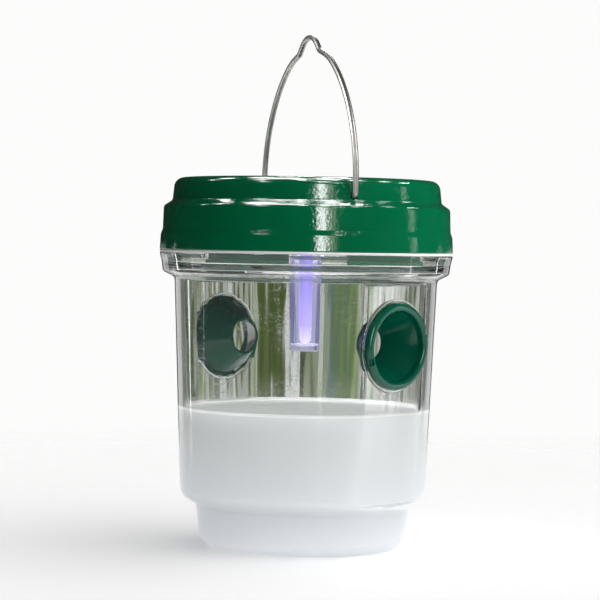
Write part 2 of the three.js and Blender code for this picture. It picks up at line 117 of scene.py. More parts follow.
class TrapSizes(PropertyGroup):
    """Sizes that a maker of the trap may change."""

    liquid_level: FloatProperty(
        name="Bait level",
        description="Height of the bait's surface above the foot",
        default=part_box("bait_liquid")[1].z,
        unit="LENGTH",
    )
    wire_radius: FloatProperty(
        name="Handle wire radius",
        description="Half the handle wire's thickness",
        default=1.15 * MM,
        unit="LENGTH",
    )
    round_sides: IntProperty(
        name="Sides of turned pieces",
        description="How many sides a turned piece has",
        default=224,
        min=24,
    )
    lens_mm: FloatProperty(
        name="Lens",
        description="Focal length of the camera, in millimetres",
        default=130.8,
    )


def colour(name, description, value):
    return FloatVectorProperty(
        name=name, description=description, default=value, size=3, subtype="COLOR", min=0, max=1
    )


class TrapColours(PropertyGroup):
    """Colours of the trap's plastics and lamp, linear."""

    lid: colour("Lid", "Glossy green of the lid", (0.0, 0.112, 0.042))
    funnel: colour("Funnels", "Green of the entry funnels", (0.0, 0.078, 0.044))
    plate: colour("Base plate", "Green of the lid's inner pieces", (0.002, 0.085, 0.033))
    bait: colour("Bait", "Milky bait liquid", (0.52, 0.53, 0.535))
    # Painted light: this violet goes into the light tube's emission as a painted glow.
    glow: colour("Lamp glow", "Violet light that the lamp lends its tube", (0.55, 0.50, 1.0))
    wire: colour("Handle wire", "Bare steel of the handle", (0.64, 0.62, 0.59))


def sizes():
    return bpy.context.scene.trap_sizes


def colours():
    return bpy.context.scene.trap_colours


# ---------------------------------------------------------------- outline tools

def unit(vector):
    return vector / np.linalg.norm(vector)


def turned_by(vector, angle):
    c, s = math.cos(angle), math.sin(angle)
    return np.array([c * vector[0] - s * vector[1], s * vector[0] + c * vector[1]])


def rounded(corners, steps=6):
    """Points of an outline given by its corners, each (x, y) or (x, y, fillet radius)."""
    points = []
    for i, (x, y, *fillet) in enumerate(corners):
        corner = np.array([x, y], float)
        if not fillet:
            points.append(corner)
            continue
        back = unit(np.array(corners[i - 1][:2], float) - corner)
        on = unit(np.array(corners[(i + 1) % len(corners)][:2], float) - corner)
        half = math.acos(np.clip(back @ on, -1, 1)) / 2
        centre = corner + unit(back + on) * fillet[0] / math.sin(half)
        start = corner + back * fillet[0] / math.tan(half) - centre
        end = corner + on * fillet[0] / math.tan(half) - centre
        sweep = math.atan2(start[0] * end[1] - start[1] * end[0], start @ end)
        points += [centre + turned_by(start, sweep * k / steps) for k in range(steps + 1)]
    return points


def spaced(points, longest):
    """The outline with points added so that no stretch is longer than longest."""
    filled = [points[0]]
    for a, b in zip(points, points[1:]):
        parts = max(1, math.ceil(np.linalg.norm(b - a) / longest))
        filled += [a + (b - a) * k / parts for k in range(1, parts + 1)]
    return filled


# ---------------------------------------------------------------- mesh tools

def piece_from(name, vertices, faces, sharp=35):
    mesh = bpy.data.meshes.new(name)
    mesh.from_pydata([tuple(v) for v in vertices], [], faces)
    mesh.validate()
    piece = bpy.data.objects.new(name, mesh)
    bpy.context.scene.collection.objects.link(piece)
    outwards(piece)
    shaded(piece, sharp)
    return piece


def outwards(piece):
    """Merges doubled corners and turns every face outwards."""
    bm = bmesh.new()
    bm.from_mesh(piece.data)
    bmesh.ops.remove_doubles(bm, verts=bm.verts, dist=1e-6)
    bmesh.ops.recalc_face_normals(bm, faces=bm.faces)
    bm.to_mesh(piece.data)
    bm.free()


def shaded(piece, sharp=35):
    piece.data.shade_smooth()
    piece.data.set_sharp_from_angle(angle=math.radians(sharp))


def revolved(name, outline, angles=None, reach=None, sharp=35):
    """A closed solid turned about Z. reach(radius, height, angles, row) may reshape each ring."""
    if angles is None:
        sides = sizes().round_sides
        angles = np.arange(sides) * 2 * math.pi / sides
    outline = list(outline)
    closed = outline[0][0] > 1e-6
    vertices, rings = [], []
    for row, (radius, height) in enumerate(outline):
        if radius < 1e-6:
            rings.append([len(vertices)])
            vertices.append((0, 0, height * MM))
            continue
        if reach is None:
            radii = np.full(len(angles), radius)
        else:
            radii = reach(radius, height, angles, row)
        rings.append(list(range(len(vertices), len(vertices) + len(angles))))
        ring = np.stack([radii * np.cos(angles), radii * np.sin(angles),
                         np.full(len(angles), height)], 1)
        vertices += list(ring * MM)
    faces = []
    pairs = list(zip(rings, rings[1:])) + ([(rings[-1], rings[0])] if closed else [])
    for low, high in pairs:
        for i in range(len(angles)):
            j = (i + 1) % len(angles)
            if len(low) == 1 and len(high) == 1:
                continue
            if len(low) == 1:
                faces.append((low[0], high[j], high[i]))
            elif len(high) == 1:
                faces.append((low[i], low[j], high[0]))
            else:
                faces.append((low[i], low[j], high[j], high[i]))
    return piece_from(name, vertices, faces, sharp)


def turned(name, corners, steps=6, sides=None, sharp=35):
    count = sides or sizes().round_sides
    return revolved(name, rounded(corners, steps), np.arange(count) * 2 * math.pi / count,
                    sharp=sharp)


def extruded(name, outline, low, high):
    """An upright prism over a closed outline, with points in millimetres."""
    count = len(outline)
    vertices = [(x * MM, y * MM, z * MM) for z in (low, high) for x, y in outline]
    faces = [tuple(range(count))[::-1], tuple(range(count, 2 * count))]
    faces += [(i, (i + 1) % count, count + (i + 1) % count, count + i) for i in range(count)]
    return piece_from(name, vertices, faces)


def block(name, low, high, bevel=0.3, segments=3):
    """A box with rounded edges, between two corners in millimetres."""
    bm = bmesh.new()
    bmesh.ops.create_cube(bm, size=1)
    low, high = Vector(low), Vector(high)
    for v in bm.verts:
        v.co = Vector(low[k] + (v.co[k] + 0.5) * (high[k] - low[k]) for k in range(3)) * MM
    if bevel:
        bmesh.ops.bevel(
            bm, geom=bm.edges[:], offset=bevel * MM, segments=segments, profile=0.5, affect="EDGES"
        )
    mesh = bpy.data.meshes.new(name)
    bm.to_mesh(mesh)
    bm.free()
    piece = bpy.data.objects.new(name, mesh)
    bpy.context.scene.collection.objects.link(piece)
    shaded(piece, 40)
    return piece


def bar(name, radius, low, high, x=0.0, y=0.0, sides=48, edge=0.0):
    """An upright round bar, with its ends' edges rounded by edge."""
    corner = (radius, low, edge) if edge else (radius, low)
    top = (radius, high, edge) if edge else (radius, high)
    piece = turned(name, [(0, low), corner, top, (0, high)], steps=3, sides=sides)
    return moved(piece, shift(x, y))


def swept(name, line, radius, sides=16, sharp=60):
    """A round wire along points in millimetres; its UV map has u around it and v along it."""
    line = np.array(line, float) * MM
    ahead = np.gradient(line, axis=0)
    ahead /= np.linalg.norm(ahead, axis=1)[:, None]
    side = np.cross(ahead[0], [0.3, 0.5, 0.81])
    rings = []
    for along in ahead:
        side = unit(side - along * (side @ along))
        other = np.cross(along, side)
        turn = np.arange(sides) * 2 * math.pi / sides
        rings.append(np.outer(np.cos(turn), side) + np.outer(np.sin(turn), other))
    vertices = [p + radius * r for p, ring in zip(line, rings) for r in ring]
    last = len(line) - 1
    faces = [
        (k * sides + i, k * sides + (i + 1) % sides, (k + 1) * sides + (i + 1) % sides,
         (k + 1) * sides + i)
        for k in range(last) for i in range(sides)
    ]
    ends = [(line[0] - ahead[0] * radius * 0.25, 0), (line[-1] + ahead[-1] * radius * 0.25, last)]
    for point, row in ends:
        vertices.append(point)
        faces += [
            (row * sides + i, row * sides + (i + 1) % sides, len(vertices) - 1)
            for i in range(sides)
        ]
    piece = piece_from(name, vertices, faces, sharp)
    length = np.concatenate([[0], np.cumsum(np.linalg.norm(np.diff(line, axis=0), axis=1))])
    layer = piece.data.uv_layers.new(name="UVMap")
    for face in piece.data.polygons:
        columns = [v % sides for v in face.vertices if v < (last + 1) * sides]
        wraps = max(columns) - min(columns) > sides / 2
        for k in face.loop_indices:
            v = piece.data.loops[k].vertex_index
            row, column = (v // sides, v % sides) if v < (last + 1) * sides else (0, 0)
            around = column / sides + (1 if wraps and column < sides / 2 else 0)
            layer.data[k].uv = (around, length[min(row, last)])
    return piece


def smooth_line(points, count=60):
    """A curve through a few chosen points, in millimetres."""
    points = np.array(points, float)
    padded = np.vstack([2 * points[0] - points[1], points, 2 * points[-1] - points[-2]])
    line = []
    stretches = len(points) - 1
    for k in range(count + 1):
        t = k / count * stretches
        i = min(int(t), stretches - 1)
        t -= i
        a, b, c, d = padded[i:i + 4]
        line.append(0.5 * (2 * b + (c - a) * t + (2 * a - 5 * b + 4 * c - d) * t ** 2
                           + (3 * b - a - 3 * c + d) * t ** 3))
    return np.array(line)


def baked(piece):
    """Replaces the mesh by what its modifiers make of it, and removes them."""
    bpy.context.view_layer.update()
    evaluated = piece.evaluated_get(bpy.context.evaluated_depsgraph_get())
    mesh = bpy.data.meshes.new_from_object(evaluated)
    piece.modifiers.clear()
    piece.data = mesh
    mesh.name = piece.name
    return piece


def carved(piece, tools, operation="DIFFERENCE", sharp=35):
    """Joins or cuts a piece with tools, which are used up."""
    tool = merged(f"{piece.name}_tool", tools)
    change = piece.modifiers.new("carve", "BOOLEAN")
    change.operation = operation
    change.solver = "EXACT"
    change.object = tool
    baked(piece)
    bpy.data.objects.remove(tool)
    shaded(piece, sharp)
    return piece


def merged(name, pieces):
    """One object from several, with their materials."""
    first = pieces[0]
    if len(pieces) > 1:
        with bpy.context.temp_override(active_object=first, selected_editable_objects=pieces):
            bpy.ops.object.join()
    first.name = name
    first.data.name = name
    return first


def moved(piece, matrix):
    piece.data.transform(matrix)
    return piece


def shift(x, y, z=0.0):
    """A move given in millimetres."""
    return Matrix.Translation((x * MM, y * MM, z * MM))


def entry_matrix(turn):
    """Carries a shape made about Z, with the jar's flat at z = 0, to an entry."""
    place = shift(FLAT_X, 0, ENTRY_Z)
    return Matrix.Rotation(turn, 4, "Z") @ place @ Matrix.Rotation(math.pi / 2 + FLAT_TILT, 4, "Y")


# Rough metal and the inner green pieces get their highlights from fewer lamps than the rest.
LAMP_KINDS_OF_SLOT = {
    "wire_steel": ("wire_light",), "funnel_green": ("window",), "solar_cell": ("window",),
    "clear_cover": ("window",),
}


def lit_pieces(kind):
    """The collection of pieces that lamps of one kind light."""
    return bpy.data.collections.get(kind) or bpy.data.collections.new(kind)


def set_down(piece, body, slot, nodes, material=None):
    """Gives a finished piece its material and body, lamps by its slot, and hides the CAD nodes it
    replaces.
    """
    if material:
        piece.data.materials.clear()
        piece.data.materials.append(material)
    for kind in LAMP_KINDS_OF_SLOT.get(slot, ("window", "high_panel")):
        lit_pieces(kind).objects.link(piece)
    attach(piece, body)
    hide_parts(*nodes)
    return piece


# ---------------------------------------------------------------- shader tools

def made_once(name):
    """Marks a function that makes the node group of that name, so that it makes it only once."""
    def with_name(make):
        return lambda: bpy.data.node_groups.get(name) or make(name)
    return with_name


def put(tree, kind, inputs=(), **settings):
    """A new node with its settings, and its inputs set to values or linked to sockets."""
    node = tree.nodes.new(kind)
    for key, value in settings.items():
        setattr(node, key, value)
    for key, value in dict(inputs).items():
        socket = node.inputs[key]
        if isinstance(value, bpy.types.NodeSocket):
            tree.links.new(value, socket)
        else:
            socket.default_value = value
    return node


def noise(tree, vector, scale, detail=2.0, roughness=0.5):
    settings = {"Vector": vector, "Scale": scale, "Detail": detail, "Roughness": roughness}
    return put(tree, "ShaderNodeTexNoise", settings).outputs["Fac"]


def maths(tree, operation, a, b=0.0, clamp=False):
    return put(tree, "ShaderNodeMath", {0: a, 1: b}, operation=operation,
               use_clamp=clamp).outputs[0]


def remapped(tree, value, low, high, to_low, to_high):
    settings = {"Value": value, "From Min": low, "From Max": high, "To Min": to_low,
                "To Max": to_high}
    return put(tree, "ShaderNodeMapRange", settings).outputs["Result"]


def stretched(tree, vector, scale, turn=(0, 0, 0)):
    return put(tree, "ShaderNodeMapping", {"Vector": vector, "Scale": scale,
                                           "Rotation": turn}).outputs[0]


def blended(tree, share, a, b):
    node = put(tree, "ShaderNodeMix", data_type="RGBA")
    for socket, value in ((node.inputs[0], share), (node.inputs[6], a), (node.inputs[7], b)):
        if isinstance(value, bpy.types.NodeSocket):
            tree.links.new(value, socket)
        else:
            socket.default_value = value
    return node.outputs[2]


def tint(rgb, factor=1.0):
    return tuple(min(1.0, c * factor) for c in rgb) + (1.0,)


def effect_group(name, inputs, outputs):
    """An empty shader group with its sockets: the tree, its input node and its output node."""
    tree = bpy.data.node_groups.new(name, "ShaderNodeTree")
    for socket, kind, default in inputs:
        made = tree.interface.new_socket(socket, in_out="INPUT", socket_type=kind)
        if default is not None:
            made.default_value = default
    for socket, kind in outputs:
        tree.interface.new_socket(socket, in_out="OUTPUT", socket_type=kind)
    return tree, tree.nodes.new("NodeGroupInput"), tree.nodes.new("NodeGroupOutput")


@made_once("Moulded Skin")
def moulded_group(name):
    """The skin of a moulded plastic: fine peel, slow ripples, slight changes of tone and gloss."""
    tree, given, out = effect_group(
        name,
        [("Vector", "NodeSocketVector", None), ("Peel Scale", "NodeSocketFloat", 900.0),
         ("Ripple Scale", "NodeSocketFloat", 70.0), ("Peel", "NodeSocketFloat", 0.25)],
        [("Height", "NodeSocketFloat"), ("Tone", "NodeSocketFloat"), ("Haze", "NodeSocketFloat")],
    )
    vector = given.outputs["Vector"]
    peel = noise(tree, vector, given.outputs["Peel Scale"], 3.0)
    ripple = noise(tree, vector, given.outputs["Ripple Scale"], 1.0)
    height = maths(tree, "ADD", maths(tree, "MULTIPLY", peel, given.outputs["Peel"]), ripple)
    tone = remapped(tree, noise(tree, vector, 24.0, 3.0), 0.3, 0.7, 0.0, 1.0)
    haze = remapped(tree, noise(tree, vector, 110.0, 5.0, 0.65), 0.42, 0.75, 0.0, 1.0)
    for socket, value in (("Height", height), ("Tone", tone), ("Haze", haze)):
        tree.links.new(value, out.inputs[socket])
    return tree


@made_once("Hair Scratches")
def scratch_group(name):
    """Hair-thin handling scratches in two directions."""
    tree, given, out = effect_group(
        name,
        [("Vector", "NodeSocketVector", None), ("Fineness", "NodeSocketFloat", 900.0)],
        [("Mask", "NodeSocketFloat")],
    )
    masks = []
    for turn in ((0.3, 0.2, 0.9), (1.1, 0.5, -0.6)):
        lines = stretched(tree, given.outputs["Vector"], (0.05, 1.0, 1.0), turn)
        fine = noise(tree, lines, given.outputs["Fineness"], 0.0)
        patches = noise(tree, given.outputs["Vector"], 45.0, 1.0)
        thin = remapped(tree, fine, 0.70, 0.76, 0.0, 1.0)
        masks.append(maths(tree, "MULTIPLY", thin, remapped(tree, patches, 0.5, 0.62, 0.0, 1.0)))
    tree.links.new(maths(tree, "MAXIMUM", *masks), out.inputs["Mask"])
    return tree


def placed_group(tree, group, **inputs):
    node = put(tree, "ShaderNodeGroup", node_tree=group)
    for key, value in inputs.items():
        socket = node.inputs[key.replace("_", " ")]
        if isinstance(value, bpy.types.NodeSocket):
            tree.links.new(value, socket)
        else:
            socket.default_value = value
    return node


def finish(name, shader_inputs):
    """A material with one Principled shader, with that shader, its tree and Object coordinates."""
    material = bpy.data.materials.new(name)
    material.use_nodes = True
    tree = material.node_tree
    shader = tree.nodes["Principled BSDF"]
    for key, value in shader_inputs.items():
        shader.inputs[key].default_value = value
    vector = put(tree, "ShaderNodeTexCoord").outputs["Object"]
    return material, tree, shader, vector


def bumped(tree, shader, height, strength, distance):
    bump = put(tree, "ShaderNodeBump", {"Height": height, "Strength": strength,
                                        "Distance": distance})
    tree.links.new(bump.outputs["Normal"], shader.inputs["Normal"])


def lamp_rays_pass(material, share):
    """Lets a share of lamp light through a clear plastic, which otherwise shades what it holds."""
    tree = material.node_tree
    shader = tree.nodes["Principled BSDF"]
    out = tree.nodes["Material Output"]
    path = put(tree, "ShaderNodeLightPath")
    passed = maths(tree, "MULTIPLY", path.outputs["Is Shadow Ray"], share)
    mix = put(tree, "ShaderNodeMixShader", {0: passed})
    tree.links.new(shader.outputs[0], mix.inputs[1])
    tree.links.new(put(tree, "ShaderNodeBsdfTransparent").outputs[0], mix.inputs[2])
    tree.links.new(mix.outputs[0], out.inputs["Surface"])


# ---------------------------------------------------------------- finishes

RIPPLE_SCALE = 48.0  # waves per metre in a moulded surface
UNLIT_VIOLET = (0.3, 0.25, 0.8)
LAMP_RAY_SHARE = 0.35  # share of lamp light that clear plastic lets straight through
BAIT_DEEP = 0.050  # height at which the bait's painted glow stops growing towards the foot
BAIT_SURFACE = (0.0557, 0.0559, 0.0561, 0.0563)  # heights between which its surface lies, which gets a brighter painted glow
# Colours of the bait's painted glow, light painted into its emission: high up, at the foot, and on
# its surface.
BAIT_PAINTED_GLOW_TOP = (0.19, 0.195, 0.19)
BAIT_PAINTED_GLOW_FOOT = (0.35, 0.365, 0.40)
BAIT_PAINTED_GLOW_SURFACE = (0.34, 0.35, 0.33)


def green_plastic(name, rgb, gloss=0.09, peel=0.25, ripple=0.06):
    """Glossy moulded green with peel, handling scratches and paler, worn edges."""
    material, tree, shader, vector = finish(name, {"IOR": 1.5})
    skin = placed_group(tree, moulded_group(), Vector=vector, Peel=peel, Ripple_Scale=RIPPLE_SCALE)
    scratches = placed_group(tree, scratch_group(), Vector=vector).outputs["Mask"]
    body = blended(tree, skin.outputs["Tone"], tint(rgb, 0.9), tint(rgb, 1.12))
    edge = put(tree, "ShaderNodeNewGeometry").outputs["Pointiness"]
    worn = remapped(tree, edge, 0.52, 0.62, 0.0, 0.35)
    tree.links.new(blended(tree, worn, body, tint(rgb, 1.8)), shader.inputs["Base Color"])
    haze = maths(tree, "MULTIPLY", skin.outputs["Haze"], 0.07)
    rough = maths(tree, "ADD", maths(tree, "MULTIPLY", scratches, 0.16),
                  maths(tree, "ADD", haze, gloss))
    tree.links.new(rough, shader.inputs["Roughness"])
    bumped(tree, shader, skin.outputs["Height"], ripple, 0.0012)
    return material


def clear_plastic(name, rgb=(0.955, 0.965, 0.965), flow=0.10, gloss=0.015, painted_glow=0.0):
    """Clear moulded plastic with upright flow lines and scratches, with a painted violet glow if
    asked.
    """
    # Painted light: with a strength above nought, the emission paints the lamp's violet glow on the
    # plastic.
    material, tree, shader, vector = finish(name, {
        "IOR": 1.5, "Transmission Weight": 1.0, "Emission Color": tuple(colours().glow) + (1,),
        "Emission Strength": painted_glow,
    })
    skin = placed_group(tree, moulded_group(), Vector=vector, Peel=0.05)
    scratches = placed_group(tree, scratch_group(), Vector=vector, Fineness=1200.0).outputs["Mask"]
    flow_lines = noise(tree, stretched(tree, vector, (1.0, 1.0, 0.07)), 95.0, 2.0)
    height = maths(tree, "ADD", flow_lines, maths(tree, "MULTIPLY", skin.outputs["Height"], 0.15))
    tree.links.new(blended(tree, skin.outputs["Tone"], tint(rgb, 0.985), tint(rgb)),
                   shader.inputs["Base Color"])
    worn = maths(tree, "MULTIPLY", scratches, 0.12)
    rough = maths(tree, "ADD", worn, maths(tree, "MULTIPLY", skin.outputs["Haze"], 0.03))
    tree.links.new(maths(tree, "ADD", rough, gloss), shader.inputs["Roughness"])
    bumped(tree, shader, height, flow, 0.0015)
    lamp_rays_pass(material, LAMP_RAY_SHARE)
    return material


def milky_bait(name):
    """Milky sugar bait: cloudy, with slow swirls, and a painted glow in its emission, brighter low
    and on top.
    """
    rgb = tuple(colours().bait)
    material, tree, shader, vector = finish(
        name, {"IOR": 1.34, "Specular IOR Level": 0.25, "Subsurface Weight": 1.0,
               "Subsurface Radius": (1.0, 1.0, 1.05), "Subsurface Scale": 0.035,
               "Emission Strength": 1.0})
    swirl = noise(tree, stretched(tree, vector, (1.0, 1.0, 0.45), (0.3, 0.2, 0.0)), 22.0, 4.0, 0.55)
    cloud = remapped(tree, swirl, 0.3, 0.7, 0.0, 1.0)
    tree.links.new(blended(tree, cloud, tint(rgb, 0.96), tint(rgb, 1.02)),
                   shader.inputs["Base Color"])
    height = put(tree, "ShaderNodeSeparateXYZ", {0: vector}).outputs["Z"]
    depth = remapped(tree, height, 0.0, BAIT_DEEP, 1.0, 0.0)
    surface = maths(tree, "MULTIPLY", remapped(tree, height, *BAIT_SURFACE[:2], 0.0, 1.0),
                    remapped(tree, height, *BAIT_SURFACE[2:], 1.0, 0.0))
    # Painted light: the emission paints a glow that grows towards the foot and is brighter again on
    # the surface.
    painted_body_glow = blended(tree, depth, tint(BAIT_PAINTED_GLOW_TOP), tint(BAIT_PAINTED_GLOW_FOOT))
    painted_glow = blended(tree, surface, painted_body_glow, tint(BAIT_PAINTED_GLOW_SURFACE))
    tree.links.new(painted_glow, shader.inputs["Emission Color"])
    froth = noise(tree, vector, 300.0, 3.0)
    tree.links.new(remapped(tree, froth, 0.3, 0.7, 0.10, 0.22), shader.inputs["Roughness"])
    bumped(tree, shader, swirl, 0.08, 0.002)
    return material


def silicone(name):
    """Cloudy white silicone rubber."""
    material, tree, shader, vector = finish(
        name, {"IOR": 1.41, "Subsurface Weight": 0.6, "Subsurface Radius": (0.003, 0.003, 0.003),
               "Subsurface Scale": 1.0})
    skin = placed_group(tree, moulded_group(), Vector=vector, Peel=0.6, Peel_Scale=1600.0)
    pale = blended(tree, skin.outputs["Tone"], (0.82, 0.84, 0.83, 1), (0.92, 0.93, 0.92, 1))
    tree.links.new(pale, shader.inputs["Base Color"])
    tree.links.new(remapped(tree, skin.outputs["Haze"], 0.0, 1.0, 0.30, 0.5),
                   shader.inputs["Roughness"])
    bumped(tree, shader, skin.outputs["Height"], 0.15, 0.0004)
    return material


def drawn_wire(name, rgb, gloss=0.34):
    """Bright drawn steel wire with fine lines along it and slight stains."""
    material, tree, shader, vector = finish(name, {"Metallic": 1.0})
    along = put(tree, "ShaderNodeUVMap").outputs["UV"]
    lines = noise(tree, stretched(tree, along, (26.0, 30.0, 1.0)), 1.0, 3.0, 0.6)
    stains = noise(tree, vector, 85.0, 4.0, 0.6)
    patchy = remapped(tree, stains, 0.35, 0.7, 0.0, 1.0)
    tree.links.new(blended(tree, patchy, tint(rgb, 1.15), tint(rgb, 0.72)),
                   shader.inputs["Base Color"])
    rough = maths(tree, "ADD", maths(tree, "MULTIPLY", patchy, 0.08), gloss)
    tree.links.new(maths(tree, "ADD", rough, maths(tree, "MULTIPLY", lines, 0.06)),
                   shader.inputs["Roughness"])
    bumped(tree, shader, lines, 0.02, 0.0002)
    return material


def plain_metal(name, rgb, gloss=0.28):
    """Plated sheet or screw metal with a fine grain."""
    material, tree, shader, vector = finish(name, {"Metallic": 1.0})
    skin = placed_group(tree, moulded_group(), Vector=vector, Peel=0.8, Peel_Scale=2600.0)
    tree.links.new(blended(tree, skin.outputs["Tone"], tint(rgb, 0.8), tint(rgb)),
                   shader.inputs["Base Color"])
    tree.links.new(remapped(tree, skin.outputs["Haze"], 0, 1, gloss, gloss + 0.2),
                   shader.inputs["Roughness"])
    bumped(tree, shader, skin.outputs["Height"], 0.12, 0.0002)
    return material


def satin_plastic(name, rgb, gloss=0.4):
    """Small moulded parts: wire skins, housings, coatings."""
    material, tree, shader, vector = finish(name, {"Metallic": 0.0})
    skin = placed_group(tree, moulded_group(), Vector=vector, Peel=0.8, Peel_Scale=3000.0)
    tree.links.new(blended(tree, skin.outputs["Tone"], tint(rgb, 0.8), tint(rgb, 1.15)),
                   shader.inputs["Base Color"])
    tree.links.new(remapped(tree, skin.outputs["Haze"], 0, 1, gloss, gloss + 0.15),
                   shader.inputs["Roughness"])
    bumped(tree, shader, skin.outputs["Height"], 0.15, 0.0003)
    return material


def glowing(name, low, high, strength, low_rgb, high_rgb):
    """A glowing plastic whose light changes with height, from low to high in millimetres."""
    material, tree, shader, vector = finish(
        name, {"Roughness": 0.3, "Emission Strength": strength, "IOR": 1.5})
    height = put(tree, "ShaderNodeSeparateXYZ", {0: vector}).outputs["Z"]
    rise = remapped(tree, height, low * MM, high * MM, 0.0, 1.0)
    cloud = noise(tree, stretched(tree, vector, (1.0, 1.0, 0.2)), 420.0, 2.0)
    share = maths(tree, "ADD", rise, remapped(tree, cloud, 0.3, 0.7, -0.18, 0.18), clamp=True)
    tree.links.new(blended(tree, share, low_rgb + (1,), high_rgb + (1,)),
                   shader.inputs["Emission Color"])
    tree.links.new(blended(tree, share, tint(UNLIT_VIOLET), tint(UNLIT_VIOLET, 0.7)),
                   shader.inputs["Base Color"])
    return material


def cell_silicon(name):
    """Blue-black solar silicon under its coating."""
    material, tree, shader, vector = finish(
        name, {"IOR": 1.6, "Coat Weight": 0.6, "Coat Roughness": 0.05})
    grains = put(tree, "ShaderNodeTexVoronoi", {"Vector": vector, "Scale": 260.0}).outputs["Color"]
    share = put(tree, "ShaderNodeSeparateXYZ", {0: grains}).outputs["X"]
    tree.links.new(blended(tree, share, (0.004, 0.006, 0.022, 1), (0.010, 0.018, 0.075, 1)),
                   shader.inputs["Base Color"])
    tree.links.new(remapped(tree, share, 0, 1, 0.22, 0.38), shader.inputs["Roughness"])
    return material


def solder_mask(name):
    """Green circuit board with faint copper tracks under the mask."""
    material, tree, shader, vector = finish(name, {"IOR": 1.5, "Coat Weight": 0.3})
    tracks = put(tree, "ShaderNodeTexBrick", {"Vector": vector, "Scale": 260.0, "Mortar Size": 0.03,
                                              "Color1": (0, 0, 0, 1), "Color2": (0, 0, 0, 1),
                                              "Mortar": (1, 1, 1, 1)}).outputs["Color"]
    share = put(tree, "ShaderNodeSeparateXYZ", {0: tracks}).outputs["X"]
    tree.links.new(blended(tree, share, (0.008, 0.075, 0.03, 1), (0.02, 0.16, 0.06, 1)),
                   shader.inputs["Base Color"])
    grime = noise(tree, vector, 500.0, 3.0)
    tree.links.new(remapped(tree, grime, 0.3, 0.7, 0.3, 0.5), shader.inputs["Roughness"])
    bumped(tree, shader, share, 0.3, 0.0001)
    return material


MAKERS = {
    "lid_green": lambda n: green_plastic(n, tuple(colours().lid), gloss=0.05, ripple=0.20),
    "plate_green": lambda n: green_plastic(n, tuple(colours().plate), gloss=0.24, peel=0.6),
    "funnel_green": lambda n: green_plastic(n, tuple(colours().funnel), gloss=0.14, peel=0.2),
    "clear_jar": lambda n: clear_plastic(n),
    # The tube's emission is a painted glow, standing in for the lamp's light.
    "clear_tube": lambda n: clear_plastic(n, (0.95, 0.95, 1.0), flow=0.04, painted_glow=0.10),
    "clear_cover": lambda n: clear_plastic(n, (0.98, 0.99, 1.0), flow=0.02),
    "bait": milky_bait,
    "silicone": silicone,
    "wire_steel": lambda n: drawn_wire(n, tuple(colours().wire)),
    "contact_nickel": lambda n: plain_metal(n, (0.62, 0.58, 0.48)),
    "screw_steel": lambda n: plain_metal(n, (0.55, 0.55, 0.55)),
    "black_plastic": lambda n: satin_plastic(n, (0.016, 0.017, 0.019)),
    "wire_red": lambda n: satin_plastic(n, (0.36, 0.015, 0.012), gloss=0.32),
    "wire_black": lambda n: satin_plastic(n, (0.012, 0.012, 0.014), gloss=0.32),
    "battery_wrap": lambda n: satin_plastic(n, (0.06, 0.16, 0.34), gloss=0.22),
    "tin": lambda n: plain_metal(n, (0.75, 0.75, 0.74), gloss=0.2),
    "copper": lambda n: plain_metal(n, (0.75, 0.32, 0.12), gloss=0.22),
    # Painted light: the sleeve is no lamp; its emission paints the LED's violet light rising up the
    # tube.
    "led_glow": lambda n: glowing(n, 92, 120, 0.85, (0.48, 0.38, 1.0), (0.10, 0.10, 0.24)),
    "led_core": lambda n: glowing(n, 82, 90, 0.95, (0.85, 0.80, 1.0), (0.50, 0.40, 1.0)),
    "solar_cell": cell_silicon,
    "board": solder_mask,
}


def finish_of(name):
    """The finish of that name, made once, beside the plain one of that name that model.glb brings.
    """
    own_name = f"{name}_finish"
    return bpy.data.materials.get(own_name) or MAKERS[name](own_name)


# ---------------------------------------------------------------- repeated pieces

def nodes_group(name, inputs):
    """An empty Geometry Nodes tree with its input sockets and one Geometry output."""
    tree = bpy.data.node_groups.new(name, "GeometryNodeTree")
    for socket, kind in inputs:
        tree.interface.new_socket(socket, in_out="INPUT", socket_type=kind)
    tree.interface.new_socket("Geometry", in_out="OUTPUT", socket_type="NodeSocketGeometry")
    return tree, tree.nodes.new("NodeGroupInput").outputs, tree.nodes.new("NodeGroupOutput")


def template_of(tree, given):
    return put(tree, "GeometryNodeObjectInfo", {"Object": given["Template"]}).outputs["Geometry"]


def ended(tree, given, out, geometry):
    """Makes the copies real and gives them their material."""
    real = put(tree, "GeometryNodeRealizeInstances", {0: geometry}).outputs[0]
    done = put(tree, "GeometryNodeSetMaterial", {"Geometry": real, "Material": given["Material"]})
    tree.links.new(done.outputs[0], out.inputs["Geometry"])
    return tree


@made_once("Copies In Rows")
def rows_tree(name):
    """Copies of a template in rows along X and Y, centred on a point."""
    tree, given, out = nodes_group(name, [
        ("Template", "NodeSocketObject"), ("Material", "NodeSocketMaterial"),
        ("Count X", "NodeSocketInt"), ("Count Y", "NodeSocketInt"),
        ("Length X", "NodeSocketFloat"), ("Length Y", "NodeSocketFloat"),
        ("Centre", "NodeSocketVector"),
    ])
    grid = put(tree, "GeometryNodeMeshGrid", {
        "Size X": given["Length X"], "Size Y": given["Length Y"],
        "Vertices X": given["Count X"], "Vertices Y": given["Count Y"],
    }).outputs["Mesh"]
    placed = put(tree, "GeometryNodeTransform", {"Geometry": grid, "Translation": given["Centre"]})
    copies = put(tree, "GeometryNodeInstanceOnPoints",
                 {"Points": placed.outputs[0], "Instance": template_of(tree, given)}).outputs[0]
    return ended(tree, given, out, copies)


